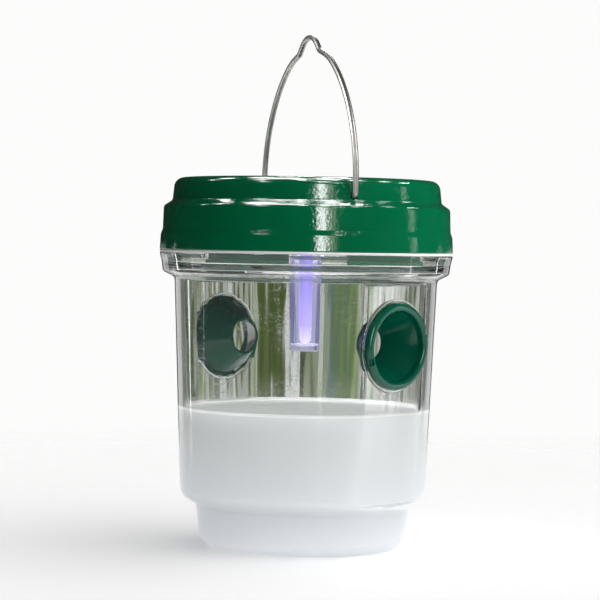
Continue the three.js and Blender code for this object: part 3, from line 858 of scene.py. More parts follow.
@made_once("Copies On Seats")
def seats_tree(name):
    """Copies of a template on the corners of a second mesh, the seats."""
    tree, given, out = nodes_group(name, [
        ("Template", "NodeSocketObject"), ("Material", "NodeSocketMaterial"),
        ("Seats", "NodeSocketObject"), ("Turn", "NodeSocketVector"),
    ])
    seats = put(tree, "GeometryNodeObjectInfo", {"Object": given["Seats"]}).outputs["Geometry"]
    turn = put(tree, "FunctionNodeEulerToRotation", {0: given["Turn"]}).outputs[0]
    copies = put(tree, "GeometryNodeInstanceOnPoints", {
        "Points": seats, "Instance": template_of(tree, given), "Rotation": turn,
    }).outputs[0]
    return ended(tree, given, out, copies)


@made_once("Copies Round Axis")
def ring_tree(name):
    """Copies of a template turned about Z, from a first angle on by equal steps."""
    tree, given, out = nodes_group(name, [
        ("Template", "NodeSocketObject"), ("Material", "NodeSocketMaterial"),
        ("Count", "NodeSocketInt"), ("First", "NodeSocketFloat"), ("Step", "NodeSocketFloat"),
    ])
    points = put(tree, "GeometryNodePoints", {"Count": given["Count"]}).outputs[0]
    index = put(tree, "GeometryNodeInputIndex").outputs[0]
    angle = maths(tree, "ADD", maths(tree, "MULTIPLY", index, given["Step"]), given["First"])
    turn = put(tree, "ShaderNodeCombineXYZ", {"Z": angle}).outputs[0]
    copies = put(tree, "GeometryNodeInstanceOnPoints", {
        "Points": points, "Instance": template_of(tree, given),
        "Rotation": put(tree, "FunctionNodeEulerToRotation", {0: turn}).outputs[0],
    }).outputs[0]
    return ended(tree, given, out, copies)


@made_once("Wound Wire")
def spiral_tree(name):
    """A round wire wound in a helix or a cone, turned and then put in its place."""
    tree, given, out = nodes_group(name, [
        ("Material", "NodeSocketMaterial"), ("Turns", "NodeSocketFloat"),
        ("Start Radius", "NodeSocketFloat"), ("End Radius", "NodeSocketFloat"),
        ("Height", "NodeSocketFloat"), ("Wire Radius", "NodeSocketFloat"),
        ("Place", "NodeSocketVector"), ("Turn", "NodeSocketVector"),
    ])
    spiral = put(tree, "GeometryNodeCurveSpiral", {
        "Resolution": 26, "Rotations": given["Turns"], "Start Radius": given["Start Radius"],
        "End Radius": given["End Radius"], "Height": given["Height"],
    }).outputs[0]
    section = put(tree, "GeometryNodeCurvePrimitiveCircle", {
        "Resolution": 10, "Radius": given["Wire Radius"],
    }).outputs[0]
    wire = put(tree, "GeometryNodeCurveToMesh", {"Curve": spiral, "Profile Curve": section,
                                                 "Fill Caps": True})
    turn = put(tree, "FunctionNodeEulerToRotation", {0: given["Turn"]}).outputs[0]
    placed = put(tree, "GeometryNodeTransform", {
        "Geometry": wire.outputs[0], "Translation": given["Place"], "Rotation": turn,
    }).outputs[0]
    return ended(tree, given, out, placed)


def grown(name, tree, material, **values):
    """The plain mesh that a Geometry Nodes tree makes from its named inputs."""
    piece = bpy.data.objects.new(name, bpy.data.meshes.new(name))
    bpy.context.scene.collection.objects.link(piece)
    growth = piece.modifiers.new("grow", "NODES")
    growth.node_group = tree
    sockets = {s.name: s.identifier for s in tree.interface.items_tree if s.in_out == "INPUT"}
    growth[sockets["Material"]] = material
    for key, value in values.items():
        growth[sockets[key.replace("_", " ")]] = value
    baked(piece)
    for value in values.values():
        if isinstance(value, bpy.types.Object):
            bpy.data.objects.remove(value)
    return piece


def in_rows(name, finish_name, template, counts, lengths, centre):
    """Copies of a template in rows along X and Y; lengths and centre are in millimetres."""
    return grown(name, rows_tree(), finish_of(finish_name), Template=template, Count_X=counts[0],
                 Count_Y=counts[1], Length_X=lengths[0] * MM, Length_Y=lengths[1] * MM,
                 Centre=tuple(c * MM for c in centre))


def in_ring(name, finish_name, template, count, first):
    """Copies of a template at equal steps about Z."""
    return grown(name, ring_tree(), finish_of(finish_name), Template=template, Count=count,
                 First=first, Step=2 * math.pi / count)


def on_seats(name, finish_name, template, points, turn):
    """Copies of a template on points in millimetres, all turned alike."""
    mesh = bpy.data.meshes.new("seats")
    mesh.from_pydata([tuple(c * MM for c in p) for p in points], [], [])
    seats = bpy.data.objects.new("seats", mesh)
    bpy.context.scene.collection.objects.link(seats)
    return grown(name, seats_tree(), finish_of(finish_name), Template=template, Seats=seats,
                 Turn=turn)


# ---------------------------------------------------------------- jar and bait

def with_flats(inset_of_row):
    """Reshapes a ring of the jar where the two opposite flats cut it."""
    def reach(radius, height, angles, row):
        inset = inset_of_row(row)
        face = FLAT_X + (height - ENTRY_Z) * math.tan(FLAT_TILT) - inset
        face += SHELF_TOP * max(0.0, height - FLAT_HIGH - inset) ** 2
        face += SHELF_FOOT * max(0.0, FLAT_LOW - inset - height) ** 2
        flat = face / np.maximum(np.abs(np.cos(angles)), 1e-3)
        share = np.clip(0.5 + 0.5 * (flat - radius) / EDGE_ROUND, 0, 1)
        return flat + (radius - flat) * share - EDGE_ROUND * share * (1 - share)
    return reach


def flat_angles():
    """Turn angles of the jar's columns, close together at the flats' upright edges."""
    coarse = np.arange(176) * 2 * math.pi / 176
    fine = np.radians(np.arange(16.4, 21.4, 0.36))
    edges = np.concatenate([s * fine + c for s in (1, -1) for c in (0, math.pi)]) % (2 * math.pi)
    kept = [a for a in coarse if np.abs(edges - a).min() > math.radians(0.25)]
    return np.sort(np.concatenate([kept, edges]))


def with_rows(points, heights):
    """The outline with points added where it crosses these heights."""
    filled = [points[0]]
    for a, b in zip(points, points[1:]):
        between = [h for h in heights if min(a[1], b[1]) < h < max(a[1], b[1])]
        between.sort(reverse=bool(a[1] > b[1]))
        filled += [a + (b - a) * (h - a[1]) / (b[1] - a[1]) for h in between] + [b]
    return filled


def flat_rows(inset):
    low, high = FLAT_LOW - inset, FLAT_HIGH + inset
    return [*np.arange(low - 1.7, low + 0.3, 0.2), *np.arange(high - 0.2, high + 1.2, 0.14)]


def jar_outside():
    return rounded([
        (0, 0), (41.85, 0, 5.5), (43.7, 16.5, 1.2), (*SIDE_FOOT, 5), (*SIDE_HEAD, 2.2),
        (58.5, 111.4, 1.8), (59.1, 115.8), (60, RIM_Z, 0.5), (59, RIM_Z + 0.001),
    ])


def jar_inside(margin=0.0):
    return rounded([
        (0, 2.5 + margin), (40.1 - margin, 2.5 + margin, 3.5), (41.7 - margin, 17.6 + margin, 1.2),
        (48.2 - margin, 21.9 + margin, 3), (51.7 - margin, 110.3, 3.5), (56.7, 112.7, 0.5),
        (56.2, 113.4), (56.2, 115.2), (57.1, 115.5), (58, RIM_Z, 0.5), (59, RIM_Z + 0.001),
    ])


def hole_outline():
    """The entry hole with its two slots, about the entry's middle."""
    outline = []
    for k in range(180):
        angle = 2 * math.pi * k / 180
        off = min(abs(math.remainder(angle, 2 * math.pi)),
                  abs(math.remainder(angle - math.pi, 2 * math.pi)))
        radius = ENTRY_SLOT_R if off < ENTRY_SLOT_SPAN / 2 else ENTRY_HOLE_R
        outline.append((radius * math.cos(angle), radius * math.sin(angle)))
    return outline


def segment(name, section, middle, span, steps=14):
    """Part of a turned ring: a closed section [(radius, height)] carried round an angle."""
    count = len(section)
    angles = [middle - span / 2 + span * k / steps for k in range(steps + 1)]
    vertices = [(r * math.cos(a) * MM, r * math.sin(a) * MM, z * MM)
                for a in angles for r, z in section]
    faces = [
        (k * count + i, k * count + (i + 1) % count, (k + 1) * count + (i + 1) % count,
         (k + 1) * count + i)
        for k in range(steps) for i in range(count)
    ]
    faces += [tuple(range(count)), tuple(range(steps * count, (steps + 1) * count))]
    return piece_from(name, vertices, faces)


def make_jar():
    outer = spaced(with_rows(jar_outside(), flat_rows(0)), ROW_STEP)
    inner = spaced(with_rows(jar_inside(), flat_rows(WALL)), ROW_STEP)
    outline = outer + inner[::-1][1:]
    jar = revolved("jar_clear", outline, flat_angles(),
                   with_flats(lambda row: 0 if row < len(outer) else WALL), sharp=50)
    rib = segment("rib", [(55.6, 117.4), (58.4, 117.4), (58.4, RIM_Z - 0.3), (55.6, RIM_Z - 0.3)],
                  0, RIB_SPAN)
    ribs = in_ring("ribs", "clear_jar", rib, TABS, TAB_FIRST + math.pi / TABS)
    bead = [(17.5, -1.1), (18.6, -1.1), (18.6, 0.55, 0.4), (17.5, 0.55, 0.4)]
    beads = [moved(turned(f"bead_{k}", bead, 4, 128), entry_matrix(k * math.pi)) for k in (0, 1)]
    carved(jar, [ribs] + beads, "UNION", sharp=50)
    holes = [moved(extruded(f"hole_{k}", hole_outline(), -5, 5), entry_matrix(k * math.pi))
             for k in (0, 1)]
    carved(jar, holes, sharp=50)
    return set_down(jar, "jar", "clear_jar", ["jar"], finish_of("clear_jar"))


def make_bait():
    gap = -0.25  # the bait wets the wall, with no air between them
    level = sizes().liquid_level / MM
    side = [p for p in jar_inside(gap) if p[1] < level]
    (foot_r, foot_z), (head_r, head_z) = SIDE_FOOT, SIDE_HEAD
    edge_r = foot_r + (level - foot_z) * (head_r - foot_r) / (head_z - foot_z) - WALL - gap
    meniscus = [np.array([edge_r - 3.2 * t, level + 0.9 * (1 - t) ** 3])
                for t in np.linspace(0, 1, 7)]
    outline = side + meniscus + [np.array([0, level])]
    outline = spaced(with_rows(outline, flat_rows(WALL)), ROW_STEP)
    bait = revolved("bait_liquid_milky", outline, flat_angles(),
                    with_flats(lambda row: WALL + gap), 60)
    return set_down(bait, "jar", "bait", ["bait_liquid"], finish_of("bait"))


# ---------------------------------------------------------------- entry funnels

def make_funnel(name, turn, body):
    body_r = ENTRY_HOLE_R - 0.4
    horn = turned(f"{name}_moulded", [
        (body_r, 0.12), (17.25, 0.12, 0.2), (17.25, 3.1, 1.5), (14.2, 3.1, 1.3), (13.9, 0, 2),
        (6.1, -13.8, 0.5), (7.6, -13.8, 0.5), (body_r, -2.4, 1.0),
    ], 7, 160)
    tab = [(14.9, -3.7), (16.8, -3.7), (16.8, -2.3), (14.9, -2.3)]
    lugs = [segment(f"lug_{k}", tab, LUG_ANGLE + k * math.pi, 0.85 * ENTRY_SLOT_SPAN)
            for k in (0, 1)]
    carved(horn, lugs, "UNION")
    notches = []
    for k in (0, 1):
        notch = block(f"notch_{k}", (15.3, -1.5, 1.5), (19, 1.5, 5), 0.35)
        notches.append(moved(notch, Matrix.Rotation(LUG_ANGLE + k * math.pi, 4, "Z")))
    carved(horn, notches)
    moved(horn, entry_matrix(turn))
    return set_down(horn, body, "funnel_green", [name], finish_of("funnel_green"))


# ---------------------------------------------------------------- lid

def rounded_square(half, radius, steps=8):
    return rounded([(half, -half, radius), (half, half, radius), (-half, half, radius),
                    (-half, -half, radius)], steps)


def screw_ring(name, radius, low, high, sides):
    """Upright bars where the base plate's screws stand."""
    return [
        bar(f"{name}_{i}", radius, low, high, SCREW_RING_R * math.cos(a),
            SCREW_RING_R * math.sin(a), sides)
        for i, a in enumerate(SCREW_ANGLES)
    ]


def make_seal():
    seal = turned("lid_seal_ring", [
        (55.7, RIM_Z + 0.05, 0.2), (59.9, RIM_Z + 0.05, 0.35), (59.9, LID_LOW - 0.05, 0.35),
        (55.7, LID_LOW - 0.05, 0.2),
    ], 4)
    return set_down(seal, "lid_seal", "silicone", ["lid_seal"], finish_of("silicone"))


def crown_bar(name, heading, radius):
    piece = bar(name, radius, BAIL_END_R - 1.5, 58, sides=32)
    turn = Matrix.Rotation(heading, 4, "Z") @ Matrix.Rotation(math.pi / 2, 4, "Y")
    return moved(piece, shift(0, 0, BAIL_PIVOT_Z) @ turn)


def make_lid():
    flange_r = 53.2
    shell = turned("lid_shell_green", [
        (flange_r, LID_LOW, 0.2), (59.9, LID_LOW, 0.35), (59.6, 126.5, 1.5), (58.8, 128.7, 1.2),
        (58.5, 138.0, 1.9), (55.0, 140.3, 1.6), (54.0, LID_TOP, 3.9), (48.5, LID_TOP), (0, LID_TOP),
        (0, LID_TOP - 2), (52, LID_TOP - 2, 2), (52.8, 139.6), (56.6, 136.8), (56.75, 128.8),
        (57.6, 126.6), (57.8, LID_LOW + 2), (flange_r, LID_LOW + 2),
    ], 9, 256)
    tab = segment("tab", [(53.4, 115.5), (56.7, 115.5), (56.7, 116.5), (56.3, 116.9), (55.3, 116.9),
                          (55.3, LID_LOW + 0.8), (53.4, LID_LOW + 0.8)], 0, TAB_SPAN)
    tabs = in_ring("tabs", "lid_green", tab, TABS, TAB_FIRST)
    pillars = screw_ring("pillar", 3.5, PLATE_TOP + 0.3, LID_TOP - 1.5, 40)
    tray_half = PANEL_HALF + 2.3
    tray = extruded("tray", rounded_square(tray_half, 3), 144.5, LID_TOP - 1)
    carved(shell, [tabs] + pillars, "UNION")
    carved(shell, [tray], "UNION")
    pocket = extruded("pocket", rounded_square(PANEL_HALF + 0.3, 2.2), 146.5, LID_TOP + 4)
    sockets = [crown_bar(f"socket_{k}", BAIL_HEADING + k * math.pi, BAIL_SOCKET_R) for k in (0, 1)]
    screw_holes = screw_ring("screw_hole", 1.6, PLATE_TOP - 1, 134, 22)
    wire_hole = block("wire_hole", (-6, -12, 143), (6, -8, LID_TOP), 0)
    carved(shell, [pocket] + sockets + screw_holes, sharp=32)
    carved(shell, [wire_hole], sharp=32)
    return set_down(shell, "lid", "lid_green", ["lid_shell"], finish_of("lid_green"))


def make_solar_panel():
    """Cells, fingers and collecting bars on a dark backing, under a clear cover."""
    half = PANEL_HALF - 0.1
    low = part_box("solar_panel")[0].z / MM
    backing = extruded("solar_panel_backing", rounded_square(half, 2), low, low + 0.9)
    backing.data.materials.append(finish_of("black_plastic"))
    columns, rows = 2, 4
    pitch = (2 * half / columns, 2 * half / rows)
    cell = block("cell", (-pitch[0] / 2 + 0.45, -pitch[1] / 2 + 0.45, 0),
                 (pitch[0] / 2 - 0.45, pitch[1] / 2 - 0.45, 0.16), 0.05, 2)
    cells = in_rows("cells", "solar_cell", cell, (columns, rows), (pitch[0], (rows - 1) * pitch[1]),
                    (0, 0, low + 0.9))
    finger = block("finger", (-0.045, -half + 0.7, 0), (0.045, half - 0.7, 0.02), 0)
    fingers = in_rows("fingers", "tin", finger, (40, 1), (2 * half - 3, 0), (0, 0, low + 1.06))
    strip = block("strip", (-half + 0.9, -0.45, 0), (half - 0.9, 0.45, 0.05), 0.02, 1)
    strips = in_rows("strips", "tin", strip, (1, rows), (0, (rows - 1) * pitch[1]),
                     (0, 0, low + 1.07))
    panel = merged("solar_panel_cells", [backing, cells, fingers, strips])
    set_down(panel, "lid", "solar_cell", ["solar_panel"])
    cover = extruded("panel_cover_clear", rounded_square(PANEL_HALF, 2.1), 148.3, LID_TOP - 0.15)
    bevel = cover.modifiers.new("edge", "BEVEL")
    bevel.width = 0.25 * MM
    bevel.segments = 3
    shaded(baked(cover), 40)
    return set_down(cover, "lid", "clear_cover", ["panel_cover"], finish_of("clear_cover"))


# ---------------------------------------------------------------- handle

def even(points, step):
    """The line with its points at an even distance."""
    points = np.array(points, float)
    length = np.concatenate([[0], np.cumsum(np.linalg.norm(np.diff(points, axis=0), axis=1))])
    at = np.linspace(0, length[-1], int(length[-1] / step) + 1)
    return np.stack([np.interp(at, length, points[:, k]) for k in range(points.shape[1])], 1)


def make_handle():
    """Two bent-in ends, two bowed sides and a small dome at the crest for the hook."""
    side = [tuple(p) for p in smooth_line(BAIL_SIDE, 90)]
    half = [(BAIL_END_R, 0), (BAIL_SIDE[0][0], 0, 1.7)] + side[1:-1] + [(*BAIL_KINK, 0.9)]
    slope = math.radians(BAIL_CREST_SLOPE)
    peak = BAIL_KINK[1] + BAIL_KINK[0] * math.tan(slope)
    crest_round = (peak - BAIL_TOP) / (1 / math.cos(slope) - 1)
    mirrored = [(-x, *rest) for x, *rest in reversed(half)]
    line = even(rounded(half + [(0, peak, crest_round)] + mirrored, 12), 0.6)
    c, s = math.cos(BAIL_HEADING), math.sin(BAIL_HEADING)
    path = [(x * c, x * s, BAIL_PIVOT_Z + y) for x, y in line]
    wire = swept("bail_handle_wire", path, sizes().wire_radius, 24)
    return set_down(wire, "bail_handle", "wire_steel", ["bail_handle"], finish_of("wire_steel"))


# ---------------------------------------------------------------- lamp

def make_light_tube():
    tube = turned("light_tube_clear", [
        (0, TUBE_LOW), (6.1, TUBE_LOW, 0.9), (6.7, 119), (6.7, PLATE_TOP + 1.4),
        (9.5, PLATE_TOP + 1.4),
        (9.5, 125.6, 0.3), (5, 125.6, 0.3), (4.9, 119), (4.3, TUBE_LOW + 2, 1.4), (0, TUBE_LOW + 2),
    ], 7, 128)
    return set_down(tube, "lid", "clear_tube", ["light_tube"], finish_of("clear_tube"))


def make_lamp():
    """The LED's violet dome with its lead frame, and the sleeve above it with its painted glow."""
    dome = turned("led_lamp_dome", [
        (0, LED_LOW), (2.5, LED_LOW, 2.45), (2.5, 88.5), (2.9, 88.5, 0.1), (2.9, LED_TOP, 0.1),
        (0, LED_TOP),
    ], 12, 64)
    set_down(dome, "lid", "led_violet", ["led_lamp"], finish_of("led_core"))
    sleeve = turned("led_sleeve_lit", [(2.1, 89.8, 0.1), (2.8, 89.8, 0.2), (2.8, 126.4, 0.2),
                                       (2.1, 126.4, 0.1)],
                    3, 64)
    return set_down(sleeve, "lid", "led_glow", ["led_sleeve"], finish_of("led_glow"))


def make_lamp_seat():
    """The rubber ring under the light tube's flange, and the ring nut that holds it down."""
    gasket = turned("tube_gasket_ring", [
        (7.1, 123, 0.25), (9.5, 123, 0.35), (9.5, 123.8, 0.35), (7.1, 123.8, 0.25),
    ], 4, 96)
    set_down(gasket, "lid", "silicone", ["tube_gasket"], finish_of("silicone"))
    nut = turned("tube_retainer_nut", [
        (9.8, 123, 0.2), (12.6, 123, 0.4), (12.6, 127.4, 0.5), (5.2, 127.4, 0.3), (5.2, 125.9, 0.2),
        (9.8, 125.9),
    ], 4, 96)
    grip = block("grip", (12.2, -0.45, 123.5), (13.2, 0.45, 128), 0.1, 1)
    carved(nut, [in_ring("grips", "plate_green", grip, 24, 0.0)])
    return set_down(nut, "lid", "plate_green", ["tube_retainer"], finish_of("plate_green"))


# ---------------------------------------------------------------- base plate and what it carries

def make_base_plate():
    plate = turned("base_plate_green", [
        (7.1, LID_LOW, 0.25), (52.9, LID_LOW, 0.5), (52.9, PLATE_TOP, 0.3), (7.1, PLATE_TOP, 0.2),
    ], 4, 192)
    (x0, y0), (x1, y1), top = BAY
    bay = block("bay", (x0 - 1.2, y0 - 1.2, LID_LOW + 1), (x1 + 1.2, y1 + 1.2, top + 1.2), 0.8, 4)
    boss = bar("door_boss", 3, LID_LOW + 1, 131, DOOR_SCREW_X, BATTERY_Y, 40, 0.4)
    posts = [bar(f"post_{k}", 2.4, LID_LOW + 1, 127.7, x, BOARD_Y, 32)
             for k, x in enumerate(BOARD_POSTS)]
    carved(plate, [bay, boss], "UNION")
    carved(plate, posts, "UNION")
    hollow = block("hollow", (x0, y0, LID_LOW - 1), (x1, y1, top), 0.5, 2)
    slots = [
        block(f"tab_slot_{k}", (x, BATTERY_Y - 2.4, top - 1),
              (x + 1.8, BATTERY_Y + 2.4, top + 5), 0)
        for k, x in enumerate((x0, x1 - 1.8))
    ]
    recess = block("recess", (x0 - 3, BATTERY_Y - 10.3, LID_LOW - 2),
                   (DOOR_SCREW_X + 4, BATTERY_Y + 10.3, LID_LOW + 1.3), 0.5, 2)
    drilled = [
        bar("door_hole", 1.6, LID_LOW - 1, 132, DOOR_SCREW_X, BATTERY_Y, 24),
        block("switch_slot", (-3.8, BOARD_Y - 2, LID_LOW - 1), (3.8, BOARD_Y + 2, PLATE_TOP + 1),
              0.4, 2),
    ]
    drilled += [bar(f"board_hole_{k}", 1.3, 123.2, 128, x, BOARD_Y, 20)
                for k, x in enumerate(BOARD_POSTS)]
    carved(plate, [hollow])
    carved(plate, [recess])
    carved(plate, slots + drilled + screw_ring("plate_hole", 1.7, LID_LOW - 1, PLATE_TOP + 1, 24))
    return set_down(plate, "lid", "plate_green", ["base_plate"], finish_of("plate_green"))


def make_door():
    low = LID_LOW + 0.1
    x0, x1 = BAY[0][0] - 2.6, DOOR_SCREW_X + 3.6
    leaf = block("battery_door_leaf", (x0, BATTERY_Y - 9.9, low), (x1, BATTERY_Y + 9.9, low + 0.9),
                 0.3, 3)
    rib = block("cradle", (-0.7, -6, low + 0.4), (0.7, 6, 123.1), 0.2, 2)
    ribs = in_rows("cradles", "plate_green", rib, (3, 1), (32, 0), (0, BATTERY_Y, 0))
    ridge = block("ridge", (-0.35, -4.5, low - 0.25), (0.35, 4.5, low + 0.3), 0.15, 2)
    ridges = in_rows("ridges", "plate_green", ridge, (6, 1), (8, 0), (22, BATTERY_Y, 0))
    carved(leaf, [ribs, ridges], "UNION")
    carved(leaf, [bar("door_hole", 1.6, low - 1, low + 3, DOOR_SCREW_X, BATTERY_Y, 24)])
    return set_down(leaf, "battery_door", "plate_green", ["battery_door"], finish_of("plate_green"))


def screw_template(length, radius):
    """A pan-head screw with a cross recess, standing on its head."""
    head = 1.9 * radius
    core = 0.72 * radius
    thread = [(radius, 0.7)]
    pitch = 0.42 * radius
    turns = int((length - 2.0) / pitch)
    for k in range(turns):
        z = 0.9 + k * pitch
        thread += [(core, z), (radius * 0.99, z + 0.5 * pitch)]
    outline = [(0, -1.4), (1.2 * radius, -1.4, 0.3), (head, -0.7, 0.4), (head, 0, 0.05),
               (radius, 0)]
    outline += thread + [(core, length - 1), (0.3 * radius, length), (0, length)]
    screw = turned("screw", outline, 3, 28)
    arm = 0.95 * radius
    cross = [
        block("slot_x", (-arm, -0.22 * radius, -2), (arm, 0.22 * radius, -0.75), 0.05, 1),
        block("slot_y", (-0.22 * radius, -arm, -2), (0.22 * radius, arm, -0.78), 0.05, 1),
    ]
    for slot_tool in cross:
        carved(screw, [slot_tool])
    return screw


def make_screws():
    seat_z = LID_LOW - 0.3
    ring = [(SCREW_RING_R * math.cos(a), SCREW_RING_R * math.sin(a), seat_z) for a in SCREW_ANGLES]
    plate = on_seats("plate_screws_steel", "screw_steel", screw_template(11, 1.3), ring,
                     (0, 0, 0.4))
    set_down(plate, "lid", "screw_steel", ["plate_screw_1", "plate_screw_2", "plate_screw_3"])
    posts = [(x, BOARD_Y, 129.9) for x in BOARD_POSTS]
    board = on_seats("board_screws_steel", "screw_steel", screw_template(5.6, 1.0), posts,
                     (math.pi, 0, 0.7))
    set_down(board, "lid", "screw_steel", ["board_screw_1", "board_screw_2"])
    door = on_seats("door_screw_steel", "screw_steel", screw_template(9, 1.2),
                    [(DOOR_SCREW_X, BATTERY_Y, seat_z)], (0, 0, 1.0))
    set_down(door, "battery_door", "screw_steel", ["door_screw"])


def make_board():
    """The circuit board with its small parts, chip and coil."""
    low, high = BOARD_LOW, BOARD_HIGH
    board = block("circuit_board_filled", (-20, BOARD_Y - 11, low),
                  (20, BOARD_Y + 11, high), 0.12, 1)
    holes = [bar(f"hole_{k}", 1.3, low - 1, high + 1, x, BOARD_Y, 24)
             for k, x in enumerate(BOARD_POSTS)]
    carved(board, holes)
    board.data.materials.clear()
    board.data.materials.append(finish_of("board"))
    resistor = block("resistor", (-0.8, -0.45, 0), (0.8, 0.45, 0.5), 0.06, 1)
    counts, lengths = (4, 2), (9, 2.6)
    resistors = in_rows("resistors", "black_plastic", resistor, counts, lengths, (-2, -34.6, high))
    ends = []
    for k, x in enumerate((-0.85, 0.85)):
        end = block("end", (-0.18, -0.47, 0), (0.18, 0.47, 0.54), 0.05, 1)
        ends.append(in_rows(f"ends_{k}", "tin", end, counts, lengths, (-2 + x, -34.6, high)))
    solder = turned("solder", [
        (0, high - 0.1), (1.1, high - 0.1), (0.9, high + 0.35, 0.2), (0.3, high + 0.8, 0.2),
        (0, high + 0.8),
    ], 2, 16)
    moved(solder, shift(0, 0, -high))
    spots = [(7, -19), (-7, -19), (2.6, -18), (-2.6, -18), (15.5, -20), (-15.5, -20)]
    joints = on_seats("joints", "tin", solder, [(x, y, high) for x, y in spots], (0, 0, 0))
    merged("circuit_board_filled", [board, resistors, joints] + ends)
    set_down(board, "lid", "board", ["circuit_board"])

    chip = block("driver_chip_pins", (-12.2, -29.8, high + 0.5),
                 (-7.8, -26.2, high + 1.75), 0.12, 2)
    carved(chip, [bar("mark", 0.4, high + 1.6, high + 3, -11.4, -27.0, 16)])
    chip.data.materials.clear()
    chip.data.materials.append(finish_of("black_plastic"))
    pin = block("pin", (-0.18, -0.32, 0.3), (0.18, 0.32, 0.85), 0.05, 1)
    pins = in_rows("pins", "tin", pin, (4, 2), (3.4, 3.3), (-10, -28, high))
    merged("driver_chip_pins", [chip, pins])
    set_down(chip, "lid", "black_plastic", ["driver_chip"])

    drum = turned("boost_coil_wound", [
        (0, high + 0.3), (3, high + 0.3, 0.2), (3, high + 1.1, 0.2), (1.8, high + 1.1),
        (1.8, high + 4.2),
        (3, high + 4.2, 0.2), (3, high + 5, 0.2), (0, high + 5),
    ], 3, 48)
    coil_x, coil_y = COIL_PLACE
    moved(drum, shift(coil_x, coil_y))
    drum.data.materials.append(finish_of("black_plastic"))
    winding = grown("winding", spiral_tree(), finish_of("copper"), Turns=12.0,
                    Start_Radius=2.45 * MM,
                    End_Radius=2.45 * MM, Height=2.7 * MM, Wire_Radius=0.13 * MM,
                    Place=(coil_x * MM, coil_y * MM, (high + 1.3) * MM), Turn=(0, 0, 0))
    merged("boost_coil_wound", [drum, winding])
    set_down(drum, "lid", "black_plastic", ["boost_coil"])


def make_switch():
    housing = block("switch_housing_black", (-6.5, BOARD_Y - 3.2, PLATE_TOP + 0.3),
                    (6.5, BOARD_Y + 3.2, 127.7), 0.3, 3)
    slot = block("slot", (-3.5, BOARD_Y - 1.7, 121.7), (3.5, BOARD_Y + 1.7, 125.4), 0.1, 1)
    carved(housing, [slot])
    set_down(housing, "lid", "black_plastic", ["switch_housing"], finish_of("black_plastic"))
    knob = block("switch_slider_knob", (-2.9, BOARD_Y - 1.3, 118.95), (-0.1, BOARD_Y + 1.3, 124.8),
                 0.25, 3)
    groove = block("groove", (-0.14, -2, 118), (0.14, 2, 119.2), 0.04, 1)
    carved(knob, [in_rows("grooves", "black_plastic", groove, (4, 1), (1.8, 0),
                          (-1.5, BOARD_Y, 0))])
    set_down(knob, "switch_slider", "black_plastic", ["switch_slider"], finish_of("black_plastic"))


def make_battery():
    half, nub = 24.5, 1.4
    cell = turned("battery_cell_wrapped", [
        (0, -half), (6.2, -half), (6.3, -half + 0.25, 0.1), (7.1, -half, 0.4), (7.1, half, 0.8),
        (4.4, half),
        (4.3, half - 0.3), (2.75, half - 0.3, 0.1), (2.75, half + nub, 0.3), (0, half + nub),
    ], 4, 72)
    moved(cell, shift(0, BATTERY_Y, BATTERY_Z) @ Matrix.Rotation(math.pi / 2, 4, "Y"))
    cell.data.materials.append(finish_of("battery_wrap"))
    cell.data.materials.append(finish_of("contact_nickel"))
    for face in cell.data.polygons:
        x = face.center.x / MM
        off = math.hypot(face.center.y / MM - BATTERY_Y, face.center.z / MM - BATTERY_Z)
        face.material_index = int((x > half - 0.4 and off < 4.35)
                                  or (x < -half + 0.3 and off < 6.25))
    set_down(cell, "lid", "battery_wrap", ["battery_cell"])

    for name, x, node in (("contact_plate_front", 27.0, "battery_contact_positive"),
                          ("contact_plate_back", -29.5, "battery_contact_negative")):
        plate = block(name, (x - 0.4, BATTERY_Y - 6, 125), (x + 0.4, BATTERY_Y + 6, 138.3), 0.15, 2)
        tab = block("tab", (x - 0.38, BATTERY_Y - 1.9, 137.9), (x + 0.38, BATTERY_Y + 1.9, 142.2),
                    0.15, 2)
        carved(plate, [tab], "UNION")
        set_down(plate, "lid", "contact_nickel", [node], finish_of("contact_nickel"))

    spring = grown("battery_spring_coil", spiral_tree(), finish_of("contact_nickel"), Turns=2.6,
                   Start_Radius=4.4 * MM, End_Radius=2.4 * MM, Height=3.0 * MM,
                   Wire_Radius=0.4 * MM,
                   Place=(-28.3 * MM, BATTERY_Y * MM, BATTERY_Z * MM), Turn=(0, math.pi / 2, 0))
    set_down(spring, "lid", "contact_nickel", ["battery_spring"])


def make_leads():
    """The thin insulated wires inside the lid."""
    routes = []
    for side, ending, skin in ((1, "positive", "wire_red"), (-1, "negative", "wire_black")):
        routes += [
            (f"led_wire_{ending}", 0.45, skin, [
                (side, 0, 89.8), (side, 0, 108), (side, 0, 126), (side, -1.2, 131),
                (1.6 * side, -8, 134.2),
                (2.4 * side, -15.5, 133), (2.6 * side, -18, 130.1)]),
            (f"panel_wire_{ending}", 0.6, skin, [
                (4 * side, -10, 146.4), (4 * side, -10, 143), (5.5 * side, -14, 138),
                (7 * side, -18.5, 133),
                (7 * side, -19, 130.1)]),
        ]
    routes += [
        ("battery_wire_positive", 0.7, "wire_red", [
            (27, 20.8, 141.2), (27, 8, 141), (22, -8, 138), (15.5, -19, 133), (15.5, -20, 130.2)]),
        ("battery_wire_negative", 0.7, "wire_black", [
            (-29.5, 20.8, 141.2), (-29, 8, 141), (-23, -8, 138), (-15.5, -19, 133),
            (-15.5, -20, 130.2)]),
    ]
    for node, radius, skin, points in routes:
        wire = swept(f"{node}_lead", smooth_line(points, 48), radius * MM, 14)
        set_down(wire, "lid", skin, [node], finish_of(skin))


# ---------------------------------------------------------------- stage

BACKDROP = (0.975, 0.975, 0.97)
CAMERA_HEADING = math.radians(-45)  # math angle of the camera, seen from above
CAMERA_REACH = 0.893
CAMERA_HEIGHT = 0.1244
CAMERA_DIP = math.radians(1.55)
CAMERA_YAW = 5.5 / 2180
CAMERA_ROLL = math.radians(0.95)

